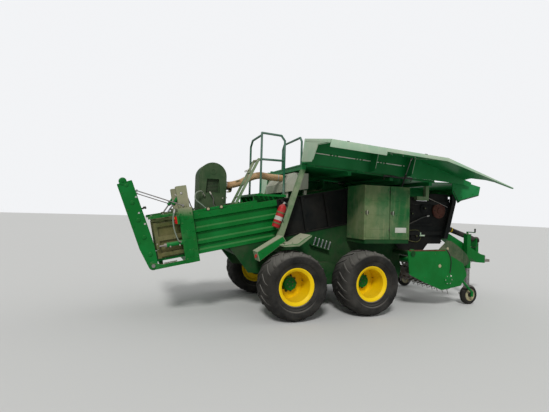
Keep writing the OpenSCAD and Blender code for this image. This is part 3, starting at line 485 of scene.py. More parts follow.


# Each finish: its colour, a second colour, how much that mottles it and how much it runs down, then the
# colour of the dust and of the painted top light, how much dust covers everything and how much dust and
# painted light lies on top, how much the edges are worn and their colour, and last the roughness, the metal
# and the bump
FINISHES = {
    "green_paint": ((0.001, 0.122, 0.016), (0.003, 0.175, 0.031), 0.7, 0.2,
        (0.16, 0.3, 0.13), 0.02, 0.32, 0.35, (0.2, 0.19, 0.11), 0.42, 0.0, 0.12),
    "shaded_green": ((0.002, 0.056, 0.01), (0.009, 0.036, 0.012), 0.6, 0.3,
        (0.1, 0.09, 0.06), 0.25, 0.5, 0.5, (0.08, 0.06, 0.03), 0.6, 0.0, 0.2),
    # The baler's green made lighter for the hood and the side panels: painted light.
    "painted_light_hood_paint": ((0.004, 0.16, 0.036), (0.014, 0.22, 0.062), 0.6, 0.2,
        (0.34, 0.46, 0.33), 0.03, 0.8, 0.25, (0.3, 0.32, 0.22), 0.38, 0.0, 0.1),
    # Pale green for sheet edges: painted light that stands in for the light these edges catch.
    "painted_light_panel_edge": ((0.34, 0.52, 0.36), (0.5, 0.58, 0.44), 0.7, 0.3,
        (0.56, 0.58, 0.46), 0.35, 0.5, 0.3, (0.3, 0.3, 0.2), 0.55, 0.0, 0.1),
    "tower_paint": ((0.001, 0.115, 0.014), (0.004, 0.16, 0.029), 0.6, 0.2,
        (0.34, 0.31, 0.21), 0.12, 0.7, 0.5, (0.3, 0.2, 0.1), 0.5, 0.0, 0.15),
    "dusty_paint": ((0.06, 0.16, 0.06), (0.16, 0.22, 0.12), 0.9, 0.3,
        (0.42, 0.42, 0.3), 0.45, 0.9, 0.4, (0.28, 0.24, 0.14), 0.6, 0.0, 0.15),
    "pale_cover": ((0.36, 0.38, 0.31), (0.26, 0.29, 0.2), 0.8, 0.4,
        (0.48, 0.45, 0.36), 0.5, 0.8, 0.3, (0.3, 0.26, 0.18), 0.65, 0.0, 0.12),
    "olive_paint": ((0.014, 0.056, 0.018), (0.045, 0.078, 0.034), 0.8, 0.3,
        (0.17, 0.18, 0.11), 0.3, 0.6, 0.3, (0.2, 0.16, 0.1), 0.6, 0.0, 0.15),
    "door_paint": ((0.014, 0.105, 0.028), (0.12, 0.165, 0.07), 0.95, 0.5,
        (0.3, 0.31, 0.19), 0.28, 0.8, 0.3, (0.3, 0.26, 0.16), 0.48, 0.0, 0.08),
    "worn_steel": ((0.05, 0.078, 0.026), (0.13, 0.115, 0.038), 0.8, 0.5,
        (0.27, 0.25, 0.13), 0.35, 0.6, 0.6, (0.3, 0.28, 0.24), 0.55, 0.35, 0.25),
    "guard_paint": ((0.03, 0.065, 0.028), (0.14, 0.15, 0.085), 0.8, 0.4,
        (0.26, 0.25, 0.16), 0.4, 0.7, 0.4, (0.2, 0.16, 0.1), 0.6, 0.0, 0.15),
    "dark_machinery": ((0.005, 0.007, 0.007), (0.014, 0.013, 0.011), 0.7, 0.4,
        (0.06, 0.054, 0.042), 0.15, 0.6, 0.5, (0.1, 0.08, 0.06), 0.6, 0.2, 0.4),
    "rail_paint": ((0.014, 0.105, 0.05), (0.09, 0.17, 0.13), 0.9, 0.2,
        (0.2, 0.24, 0.21), 0.4, 0.4, 0.5, (0.22, 0.24, 0.22), 0.5, 0.1, 0.12),
    "red_brown": ((0.085, 0.018, 0.014), (0.04, 0.015, 0.012), 0.7, 0.4,
        (0.12, 0.09, 0.06), 0.3, 0.5, 0.4, (0.12, 0.08, 0.05), 0.6, 0.1, 0.3),
    "cream_paint": ((0.42, 0.39, 0.24), (0.28, 0.24, 0.13), 0.7, 0.3,
        (0.35, 0.3, 0.2), 0.3, 0.4, 0.3, (0.25, 0.2, 0.12), 0.55, 0.0, 0.1),
    "yellow_paint": ((0.88, 0.6, 0.002), (0.7, 0.42, 0.003), 0.6, 0.25,
        (0.56, 0.42, 0.03), 0.1, 0.3, 0.5, (0.7, 0.56, 0.2), 0.42, 0.0, 0.1),
    # On the tyres the layer on top is strong: straw dust and painted light on their tops.
    "tyre_rubber": ((0.012, 0.012, 0.0115), (0.028, 0.026, 0.022), 0.8, 0.2,
        (0.19, 0.18, 0.16), 0.16, 0.75, 0.4, (0.1, 0.09, 0.08), 0.85, 0.0, 0.5),
    "bare_steel": ((0.3, 0.3, 0.31), (0.16, 0.12, 0.09), 0.6, 0.3,
        (0.35, 0.3, 0.2), 0.3, 0.5, 0.3, (0.5, 0.5, 0.5), 0.42, 0.85, 0.2),
    "spring_steel": ((0.33, 0.37, 0.38), (0.2, 0.24, 0.24), 0.6, 0.2,
        (0.3, 0.3, 0.25), 0.2, 0.3, 0.2, (0.5, 0.5, 0.5), 0.45, 0.5, 0.1),
    "zinc": ((0.52, 0.52, 0.5), (0.4, 0.36, 0.28), 0.6, 0.2,
        (0.4, 0.36, 0.26), 0.25, 0.4, 0.3, (0.6, 0.6, 0.6), 0.4, 0.7, 0.1),
    "casting": ((0.05, 0.052, 0.055), (0.11, 0.07, 0.04), 0.7, 0.4,
        (0.22, 0.18, 0.12), 0.5, 0.7, 0.4, (0.2, 0.15, 0.1), 0.6, 0.3, 0.5),
    "rust": ((0.13, 0.045, 0.02), (0.07, 0.03, 0.02), 0.8, 0.3,
        (0.24, 0.17, 0.1), 0.4, 0.6, 0.3, (0.2, 0.1, 0.05), 0.8, 0.1, 0.6),
    "black_paint": ((0.012, 0.012, 0.013), (0.04, 0.036, 0.03), 0.6, 0.3,
        (0.2, 0.17, 0.12), 0.3, 0.6, 0.4, (0.15, 0.12, 0.1), 0.5, 0.0, 0.15),
    "black_plastic": ((0.014, 0.014, 0.015), (0.03, 0.03, 0.03), 0.5, 0.1,
        (0.18, 0.16, 0.12), 0.3, 0.5, 0.2, (0.08, 0.08, 0.08), 0.55, 0.0, 0.1),
    "air_duct": ((0.5, 0.3, 0.14), (0.36, 0.2, 0.09), 0.6, 0.1,
        (0.56, 0.46, 0.3), 0.4, 0.6, 0.1, (0.4, 0.3, 0.2), 0.7, 0.0, 0.2),
    "hose_rubber": ((0.05, 0.052, 0.052), (0.03, 0.03, 0.028), 0.5, 0.1,
        (0.2, 0.18, 0.14), 0.3, 0.5, 0.1, (0.2, 0.2, 0.2), 0.6, 0.0, 0.2),
    "pale_hose": ((0.2, 0.26, 0.21), (0.13, 0.17, 0.13), 0.5, 0.1,
        (0.3, 0.28, 0.2), 0.3, 0.5, 0.1, (0.2, 0.2, 0.2), 0.6, 0.0, 0.2),
    "red_enamel": ((0.42, 0.01, 0.012), (0.26, 0.016, 0.018), 0.5, 0.2,
        (0.36, 0.24, 0.21), 0.2, 0.4, 0.4, (0.4, 0.35, 0.3), 0.3, 0.0, 0.08),
    "red_lens": ((0.45, 0.005, 0.005), (0.3, 0.01, 0.01), 0.3, 0.0,
        (0.4, 0.3, 0.25), 0.15, 0.4, 0.0, (0.4, 0.1, 0.1), 0.18, 0.0, 0.05),
    "pale_lens": ((0.78, 0.76, 0.7), (0.6, 0.55, 0.45), 0.4, 0.0,
        (0.5, 0.45, 0.35), 0.15, 0.3, 0.0, (0.6, 0.6, 0.6), 0.2, 0.0, 0.05),
    "amber_lens": ((0.75, 0.3, 0.01), (0.5, 0.2, 0.02), 0.3, 0.0,
        (0.5, 0.4, 0.25), 0.15, 0.3, 0.0, (0.6, 0.4, 0.2), 0.2, 0.0, 0.05),
    "blank_label": ((0.48, 0.49, 0.44), (0.34, 0.34, 0.28), 0.5, 0.3,
        (0.3, 0.28, 0.2), 0.2, 0.2, 0.0, (0.5, 0.5, 0.5), 0.5, 0.0, 0.02),
}
# The heights between which dust takes over a finish
DUST_HEIGHTS = {"tower_paint": (0.93, 1.08)}
ABOVE_ALL = (9.0, 10.0)
DUST_ROUGHNESS = 0.92
GROUP_MAKERS = {"Straw Dust and Painted Top Light": make_dust_and_top_light_group, "Worn Edges": make_wear_group,
                "Mottled Colour": make_mottle_group}
GROUPS = {}
MADE = {}


def group_node(tree, name, inputs):
    """One of the shader groups, placed in a material with its own values."""
    if name not in GROUPS:
        GROUPS[name] = GROUP_MAKERS[name]()
    node = linked(tree, "ShaderNodeGroup", node_tree=GROUPS[name])
    for label, value in inputs.items():
        if isinstance(value, bpy.types.NodeSocket):
            tree.links.new(value, node.inputs[label])
        else:
            node.inputs[label].default_value = value
    return node.outputs


def finish_of(name):
    """The material of that name, made the first time it is asked for."""
    if name in MADE:
        return MADE[name]
    colour, second, mottle, runs, dust, cover, on_top, wear, worn, roughness, metal, bump = FINISHES[name]
    material = MADE[name] = bpy.data.materials.new("finish_" + name)
    material.use_nodes = True
    tree = material.node_tree
    shader = tree.nodes["Principled BSDF"].inputs
    base = group_node(tree, "Mottled Colour", {"Colour": (*colour, 1), "Second Colour": (*second, 1),
                                               "Amount": mottle, "Runs": runs})
    worn_off = group_node(tree, "Worn Edges", {"Colour": base["Colour"], "Worn Colour": (*worn, 1),
                                               "Amount": wear})
    low, high = DUST_HEIGHTS.get(name, ABOVE_ALL)
    # The layer on top carries both dust and painted top light.
    dust_and_top_light = group_node(tree, "Straw Dust and Painted Top Light", {"Colour": worn_off["Colour"], "Dust and Top Light Colour": (*dust, 1),
                                            "Cover": cover, "On Top": on_top, "High From": low,
                                            "High To": high})
    tree.links.new(dust_and_top_light["Colour"], shader["Base Color"])
    tree.links.new(mapped(tree, dust_and_top_light["Mask"], roughness, DUST_ROUGHNESS), shader["Roughness"])
    if metal:
        tree.links.new(mapped(tree, dust_and_top_light["Mask"], metal, 0.0), shader["Metallic"])
    relief = added(tree, base["Height"], times(tree, dust_and_top_light["Mask"], 0.6))
    bumped = linked(tree, "ShaderNodeBump", {"Strength": bump, "Distance": 0.003, "Height": relief})
    tree.links.new(bumped.outputs[0], shader["Normal"])
    shader["Specular IOR Level"].default_value = 0.14
    return material


# Settings


class StageSettings(bpy.types.PropertyGroup):
    """Camera, floor and lamps."""

    lens: bpy.props.FloatProperty(name="Lens", description="Focal length in millimetres", default=24.92)
    floor_colour: bpy.props.FloatVectorProperty(name="Floor", description="Colour of the floor",
                                                subtype="COLOR", default=(0.62, 0.62, 0.60))
    sky_strength: bpy.props.FloatProperty(name="Sky", description="Strength of the soft light",
                                          default=0.46)
    sky_seen: bpy.props.FloatProperty(name="Background", description="Brightness behind the machine",
                                      default=0.92)
    sun_strength: bpy.props.FloatProperty(name="Sun", description="Strength of the main lamp", default=1.9)


class TyreSettings(bpy.types.PropertyGroup):
    """Sizes of the road tyres."""

    radius: bpy.props.FloatProperty(name="Radius", description="Out to the lugs' tips", default=0.58,
                                    unit="LENGTH")
    width: bpy.props.FloatProperty(name="Width", description="Over the sidewalls", default=0.60,
                                   unit="LENGTH")
    lug_depth: bpy.props.FloatProperty(name="Lug depth", description="Height of a tread lug", default=0.017,
                                       unit="LENGTH")
    lugs: bpy.props.IntProperty(name="Lugs", description="Tread lugs on each shoulder", default=20)


# Operators

NODE_FINISHES = {
    "green_paint": ["drawbar", "jack_tube", "channel", "platform", "flywheel", "bale_chute",
                    "pickup_frame"],
    "rail_paint": ["guard_rails"],
    "guard_paint": ["wind_guard"],
    "dark_machinery": ["plunger_case", "front_pillars"],
    "pale_cover": ["knotter_cover"],
    # The flanges take the pale green painted as the light on the panels' edges.
    "painted_light_panel_edge": ["panel_flange_left", "panel_flange_right"],
    # The hood and side panels take the green lightened as painted light.
    "painted_light_hood_paint": ["hood_roof", "front_hood", "side_panel_left", "side_panel_right"],
    "shaded_green": ["main_frame", "feeder_housing", "needle_yoke", "tandem_axle"],
    "tower_paint": ["density_frame"],
    "dusty_paint": ["ladder", "hood_posts", "mudguards"],
    "olive_paint": ["blower_housing"],
    "door_paint": ["twine_box_left", "twine_box_right", "twine_door_rear", "twine_door_front",
                   "twine_doors_left"],
    "worn_steel": ["tension_door_left", "tension_door_right", "tension_rail_top"],
    "yellow_paint": ["rim_front_left", "rim_front_right", "rim_rear_left", "rim_rear_right"],
    "tyre_rubber": ["tyre_front_left", "tyre_front_right", "tyre_rear_left", "tyre_rear_right",
                    "gauge_wheel_left", "gauge_wheel_right"],
    "bare_steel": ["tow_eye", "jack_foot", "density_cylinders", "chute_stay", "strut_rod_left",
                   "strut_rod_right", "pickup_reel", "tension_springs"],
    "casting": ["gearbox"],
    "black_plastic": ["pto_shaft", "strut_barrel_left", "strut_barrel_right"],
    "air_duct": ["air_hose"],
    "red_enamel": ["fire_extinguisher"],
    "red_lens": ["lamps"],
}


class BALER_OT_paint(bpy.types.Operator):
    """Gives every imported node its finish."""

    bl_idname = "baler.paint"
    bl_label = "Paint the Frame"

    def execute(self, context):
        for finish, names in NODE_FINISHES.items():
            for name in names:
                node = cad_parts[name]
                node.data.materials.clear()
                node.data.materials.append(finish_of(finish))
        return {"FINISHED"}


class BALER_OT_stage(bpy.types.Operator):
    """Sets the floor, the lamps and the camera."""

    bl_idname = "baler.stage"
    bl_label = "Set the Stage"

    def execute(self, context):
        settings = context.scene.baler_stage
        self.lay_floor(settings)
        self.light(settings)
        self.aim(settings)
        return {"FINISHED"}

    def lay_floor(self, settings):
        bm = bmesh.new()
        bmesh.ops.create_grid(bm, x_segments=1, y_segments=1, size=90,
                              matrix=Matrix.Translation(at(0, 0, 0)))
        mesh = bpy.data.meshes.new("floor")
        bm.to_mesh(mesh)
        bm.free()
        material = bpy.data.materials.new("floor")
        material.use_nodes = True
        shader = material.node_tree.nodes["Principled BSDF"]
        shader.inputs["Base Color"].default_value = (*settings.floor_colour, 1)
        shader.inputs["Roughness"].default_value = 0.9
        mesh.materials.append(material)
        link_object("floor", mesh)

    def light(self, settings):
        """A sky that shows brighter to the camera than it lights, a sun and a soft fill."""
        world = bpy.data.worlds.new("studio")
        bpy.context.scene.world = world
        world.use_nodes = True
        tree = world.node_tree
        seen = linked(tree, "ShaderNodeLightPath").outputs["Is Camera Ray"]
        background = tree.nodes["Background"].inputs
        background["Color"].default_value = (0.97, 0.98, 1.0, 1)
        tree.links.new(mapped(tree, seen, settings.sky_strength, settings.sky_seen), background["Strength"])
        for name, energy, angle, turn in (("sun", settings.sun_strength, 12, (48, 0, -28)),
                                          ("fill", settings.sun_strength * 0.28, 60, (60, 0, 100))):
            lamp = bpy.data.lights.new(name, "SUN")
            lamp.energy = energy
            lamp.angle = math.radians(angle)
            link_object(name, lamp).rotation_euler = [math.radians(t) for t in turn]

    def aim(self, settings):
        """The camera, placed and turned as the photograph was taken."""
        camera = bpy.data.cameras.new("camera")
        camera.lens = settings.lens
        camera.sensor_width = 36
        camera.clip_end = 300
        yaw, pitch, roll = math.radians(19.9), math.radians(0.9), math.radians(1.7)
        flat = math.cos(pitch)
        forward = Vector((math.sin(yaw) * flat, math.cos(yaw) * flat, math.sin(pitch)))
        level = forward.cross(Vector(UP)).normalized()
        upright = level.cross(forward)
        right = math.cos(roll) * level + math.sin(roll) * upright
        up = math.cos(roll) * upright - math.sin(roll) * level
        turn = Matrix((right, up, -forward)).transposed().to_4x4()
        holder = link_object("camera", camera)
        holder.matrix_world = Matrix.Translation(at(-3.25, -7.15, 1.81)) @ turn
        bpy.context.scene.camera = holder
        bpy.context.scene.view_settings.view_transform = "Standard"


class BALER_OT_wheels(bpy.types.Operator):
    """Builds the road tyres with their lugs, and the studs, hubs and valves of the rims."""

    bl_idname = "baler.wheels"
    bl_label = "Build the Wheels"

    def execute(self, context):
        settings = context.scene.baler_tyre
        for end, x in (("front", AXLE_X), ("rear", -AXLE_X)):
            for side, y in (("left", TYRE_Y), ("right", -TYRE_Y)):
                outward = Matrix.Rotation(math.radians(-90 if y > 0 else 90), 4, "X")
                place = Matrix.Translation((x, y, AXLE_Z)) @ outward
                self.tyre(f"{end}_{side}", place, settings)
                self.hub(f"{end}_{side}", place)
        return {"FINISHED"}

    def tyre(self, corner, place, settings):
        piece = Piece(f"tyre_tread_{corner}", f"wheel_{corner}", "tyre")
        half = settings.width / 2
        core = settings.radius - settings.lug_depth
        wall = [(0.318, -0.228), (0.330, -0.243), (0.350, -0.250), (0.372, -0.262), (0.384, -0.270),
                (0.396, -0.272), (0.404, -0.284), (0.43, -0.296), (0.462, -0.300), (0.49, -0.297),
                (0.515, -0.287), (0.533, -0.268), (0.545, -0.240), (core - 0.003, -0.20), (core, -0.10)]
        drawn_half = 0.3
        wall = [(r, h * half / drawn_half) for r, h in wall]
        outline = wall + [(core + 0.001, 0.0)] + [(r, -h) for r, h in reversed(wall)]
        piece.lathe(outline, "tyre_rubber", place, 72)
        lug = self.lug_mesh(core, settings)
        step = math.tau / settings.lugs
        for k in range(settings.lugs):
            for flip in (0, 1):
                turn = Matrix.Rotation((k + flip / 2) * step, 4, "Z")
                mirrored = turn @ Matrix.Diagonal((1, 1, -1 if flip else 1, 1))
                with piece.shape("tyre_rubber", place @ mirrored) as bm:
                    bm.from_mesh(lug)
        bpy.data.meshes.remove(lug)
        piece.finish(f"tyre_{corner}")

    def lug_mesh(self, core, settings):
        """One tread lug: a bar that curves from the middle of the tread down over the shoulder."""
        half = settings.width / 2
        tip = settings.radius
        sections = [(0.012, -0.004, tip, 0.024), (0.07, 0.030, tip - 0.001, 0.025),
                    (0.13, 0.068, tip - 0.003, 0.027), (0.19, 0.104, tip - 0.008, 0.030),
                    (0.235, 0.130, tip - 0.022, 0.032), (half - 0.028, 0.146, core - 0.028, 0.033),
                    (half - 0.004, 0.150, core - 0.075, 0.030)]
        shoulder = 0.22
        bm = bmesh.new()
        loops = []
        for across, along, reach, wide in sections:
            angle = along / settings.radius
            deep = core - 0.02 if across < shoulder else reach - 0.03
            ring = []
            for radius, side in ((deep, -1.15), (reach, -0.85), (reach, 0.85), (deep, 1.15)):
                a = angle + side * wide / settings.radius
                ring.append(bm.verts.new((radius * math.cos(a), radius * math.sin(a), across)))
            loops.append([bm.edges.new((ring[i - 1], ring[i])) for i in range(4)])
        for first, second in zip(loops, loops[1:]):
            bmesh.ops.bridge_loops(bm, edges=first + second)
        bmesh.ops.holes_fill(bm, edges=bm.edges, sides=4)
        round_edges(bm, [e for e in bm.edges if e.calc_face_angle(0) > 0.6], 0.004)
        mesh = bpy.data.meshes.new("lug")
        bm.to_mesh(mesh)
        bm.free()
        return mesh

    def hub(self, corner, place):
        piece = Piece(f"hub_{corner}", f"wheel_{corner}", "rim_yellow")
        piece.lathe([(0.0, -0.058), (0.078, -0.058), (0.086, -0.061), (0.109, -0.061), (0.113, -0.066),
                     (0.1305, -0.148), (0.1305, -0.162), (0.0, -0.162)], "green_paint", place, 40)
        stud_at = 0.1375
        for turn in turns(place, 10):
            piece.rod(turn @ Vector((stud_at, 0, -0.16)), turn @ Vector((stud_at, 0, -0.115)), 0.011,
                      "casting", 10)
            piece.lathe([(0, -0.135), (0.018, -0.135), (0.023, -0.15), (0.023, -0.16), (0, -0.16)],
                        "casting", turn @ Matrix.Translation((stud_at, 0, 0)), 6)
        for turn in turns(place, 5, shift=0.5):
            piece.bolt(turn @ Vector((0.052, 0, -0.058)), place.to_3x3() @ Vector(UP), 0.018, "casting")
        piece.rod(place @ Vector((0.24, 0.05, -0.13)), place @ Vector((0.235, 0.05, -0.07)), 0.006,
                  "black_plastic", 8)
        piece.finish()


class BALER_OT_channel(bpy.types.Operator):
    """Bolts, pipes, hoses and reflectors round the bale channel."""

    bl_idname = "baler.channel"
    bl_label = "Fit the Bale Channel"

    def execute(self, context):
        self.fasteners()
        self.pipework()
        self.reflectors()
        return {"FINISHED"}

    def fasteners(self):
        piece = Piece("channel_bolts", "machine", "steel", CHANNEL)
        for side in (-1, 1):
            piece.side_bolts(side, side * 0.660, grid(row(0.78, 0.19, 8), [0.655]), 0.018, "green_paint")
            piece.side_bolts(side, side * 0.730, grid((0.475, 0.635), row(-0.04, 0.15, 6)), 0.020,
                             "green_paint")
            piece.top_bolts(0.741, grid(row(0.8, 0.22, 6), [side * 0.62]), 0.016, "green_paint")
            piece.side_bolts(side, side * 0.661, grid(row(2.26, 0.48, 5), (0.05, 0.35, 0.65)), 0.018,
                             "dark_machinery")
        piece.finish()

    def pipework(self):
        piece = Piece("channel_hoses", "machine", "hose", CHANNEL)
        for side in (-1, 1):
            for y in (side * 0.44, side * 0.47):
                piece.rod((0.76, y, 0.708), (2.0, y, 0.708), 0.008, "worn_steel", 8)
            for x in (0.85, 1.3, 1.75):
                piece.slab(side * 0.455, 0.03, (x, 0.699), (x + 0.03, 0.722), "black_plastic")
        piece.hose([(0.38, -0.75, 0.78), (0.34, -0.775, 0.66), (0.33, -0.785, 0.52), (0.345, -0.785, 0.40),
                    (0.37, -0.775, 0.30), (0.40, -0.74, 0.27)], 0.011, "pale_hose")
        piece.hose([(0.76, -0.44, 0.715), (0.71, -0.42, 0.80), (0.685, -0.385, 0.92), (0.66, -0.375, 1.02),
                    (0.60, -0.385, 1.08)], 0.010)
        piece.hose([(0.96, -0.44, 0.72), (0.90, -0.44, 0.80), (0.80, -0.42, 0.92), (0.83, -0.40, 1.03),
                    (0.93, -0.36, 1.05), (0.975, -0.30, 0.98)], 0.012, "pale_hose")
        piece.hose([(1.10, -0.29, 0.99), (1.12, -0.38, 0.88), (1.09, -0.46, 0.79), (1.14, -0.47, 0.715)],
                   0.010)
        piece.finish()

    def reflectors(self):
        piece = Piece("channel_reflectors", "machine", "lamp_red", CHANNEL)
        for side in (-1, 1):
            piece.slab(side * 0.656, 0.004, (0.88, 0.706), (1.26, 0.75), "green_paint")
            for x in (0.95, 1.18):
                place = stand_along((x, side * 0.661, 0.728), (0, side, 0))
                piece.lathe([(0, 0), (0.034, 0), (0.034, 0.006), (0.028, 0.010), (0.025, 0.006),
                             (0, 0.006)], "black_plastic", place, 24)
                piece.lathe([(0, 0.005), (0.024, 0.005), (0.022, 0.011), (0.012, 0.014), (0, 0.015)],
                            "cream_paint", place, 24)
            lamp = stand_along((0.370, side * 0.74, 0.63), (-1, 0, 0))
            for down, lens in ((-0.028, "red_lens"), (0.028, "amber_lens")):
                piece.lathe(boss(0.024, 0.006, 0.018, 0.011, -0.002, 0.013), lens,
                            lamp @ Matrix.Translation((0, down, 0)), 20)
        piece.finish()


class BALER_OT_density(bpy.types.Operator):
    """Cylinders, pins and turnbuckles round the tension doors, and the rods of the top rail."""

    bl_idname = "baler.density"
    bl_label = "Fit the Density Frame"

    def execute(self, context):
        self.posts()
        self.doors()
        self.top_rail()
        return {"FINISHED"}

    def posts(self):
        piece = Piece("density_fittings", "machine", "steel", CHANNEL)
        for side in (-1, 1):
            y = side * 0.697
            mid = side * 0.49
            piece.cylinder((0.437, y, 0.25), (0.185, y, 0.25), 0.036)
            piece.cylinder((0.54, mid, 1.04), (0.40, mid, 0.89), 0.030)
            piece.rod((0.555, mid - 0.08, 1.06), (0.555, mid + 0.08, 1.06), 0.020, "zinc", 16, edge=0.003)
            piece.side_bolts(side, side * 0.706, grid((0.02, 0.16, 0.30), (-0.08, 0.735)), 0.018,
                             "green_paint")
            for z in (-0.02, 0.30, 0.62):
                piece.slab(side * 0.733, 0.003, (0.52, z), (0.59, z + 0.13), "tower_paint", 0.002)
            piece.spring((0.30, side * 0.69, -0.040), (0.10, side * 0.69, -0.040), 0.014, 0.004, 12,
                         "worn_steel")
            piece.slab(mid, 0.064, (0.488, 1.176), (0.652, 1.186), "tower_paint")
        piece.finish()

    def doors(self):
        for side, name in SIDE_NAMES.items():
            piece = Piece(f"tension_fittings_{name}", f"tension_{name}", "steel", CHANNEL)
            piece.block((0.022, side * 0.700, 0.214), (0.058, side * 0.730, 0.286), "worn_steel", 0.004)
            piece.rod((0.04, side * 0.69, 0.20), (0.04, side * 0.69, 0.30), 0.012, "zinc", 12)
            for z in (0.10, 0.365, 0.59):
                piece.side_bolts(side, side * 0.650, grid((0.14, 0.30, 0.44), [z]), 0.018, "worn_steel")
            piece.finish()

    def top_rail(self):
        piece = Piece("top_rail_rods", "tension_top", "steel", CHANNEL)
        for side in (-1, 1):
            mid = side * 0.49
            piece.rod((0.400, mid, 0.890), (0.275, mid, 0.755), 0.014, "bare_steel", 16)
            piece.slab(mid, 0.03, (0.235, 0.733), (0.305, 0.775), "worn_steel", 0.004)
            for y in (0.147, 0.44):
                piece.top_bolts(0.734, grid((0.05, 0.27), [side * y]), 0.022)
        piece.finish()


class BALER_OT_chute(bpy.types.Operator):
    """Bolts, bearings, end lobes and bumpers of the folded chute."""

    bl_idname = "baler.chute"
    bl_label = "Fit the Chute"

    def execute(self, context):
        piece = Piece("chute_fittings", "chute", "steel", CHUTE)
        rollers = row(0.19, 0.295, 5)
        for side in (-1, 1):
            self.arm(piece, side, rollers)
        for z in rollers:
            for y in (-0.45, -0.15, 0.15, 0.45):
                piece.turned([(0.0375, -0.004), (0.044, -0.002), (0.044, 0.002), (0.0375, 0.004)],
                             "worn_steel", (0.01, y, z), ACROSS, 20)
        piece.finish()
        return {"FINISHED"}

    def arm(self, piece, side, rollers):
        half = 0.115
        y = side * 0.671
        outward = (0, side, 0)
        for z in rollers:
            piece.turned(boss(0.034, 0.006, 0.026, 0.012, tip=0.014), "green_paint", (0.01, y, z), outward,
                         20)
            piece.bolt((0.01, y + side * 0.010, z), outward, 0.018, "green_paint")
        piece.side_bolts(side, y, ((0.088, 0.685), (0.056, 0.883), (0.093, 1.141)), 0.022)
        piece.side_bolts(side, y, grid([-0.085], (0.42, 0.70, 0.98, 1.26)), 0.018, "green_paint")
        piece.turned([(0, 0), (0.058, 0), (0.058, 0.012), (0.046, 0.018), (0.022, 0.020), (0, 0.020)],
                     "green_paint", (-0.02, y - side * 0.001, 1.44), outward, 32)
        piece.bolt((-0.02, y + side * 0.020, 1.44), outward, 0.030, "green_paint")
        bumper_y = side * 0.64
        piece.rod((half - 0.01, bumper_y, 0.93), (half + 0.05, bumper_y, 0.935), 0.011, "black_plastic", 10)
        piece.turned([(0, 0), (0.020, 0.002), (0.024, 0.014), (0.018, 0.028), (0, 0.032)], "black_plastic",
                     (half + 0.045, bumper_y, 0.935), FORWARD, 16)
        piece.turned([(0.030, 0), (0.072, 0), (0.072, 0.008), (0.06, 0.014), (0.030, 0.014)], "green_paint",
                     (0, y, 0), outward, 36)
        for x in (-half - 0.003, half - 0.003):
            piece.slab(side * 0.636, 0.034, (x, 0.31), (x + 0.006, 1.41), "green_paint", 0.002)


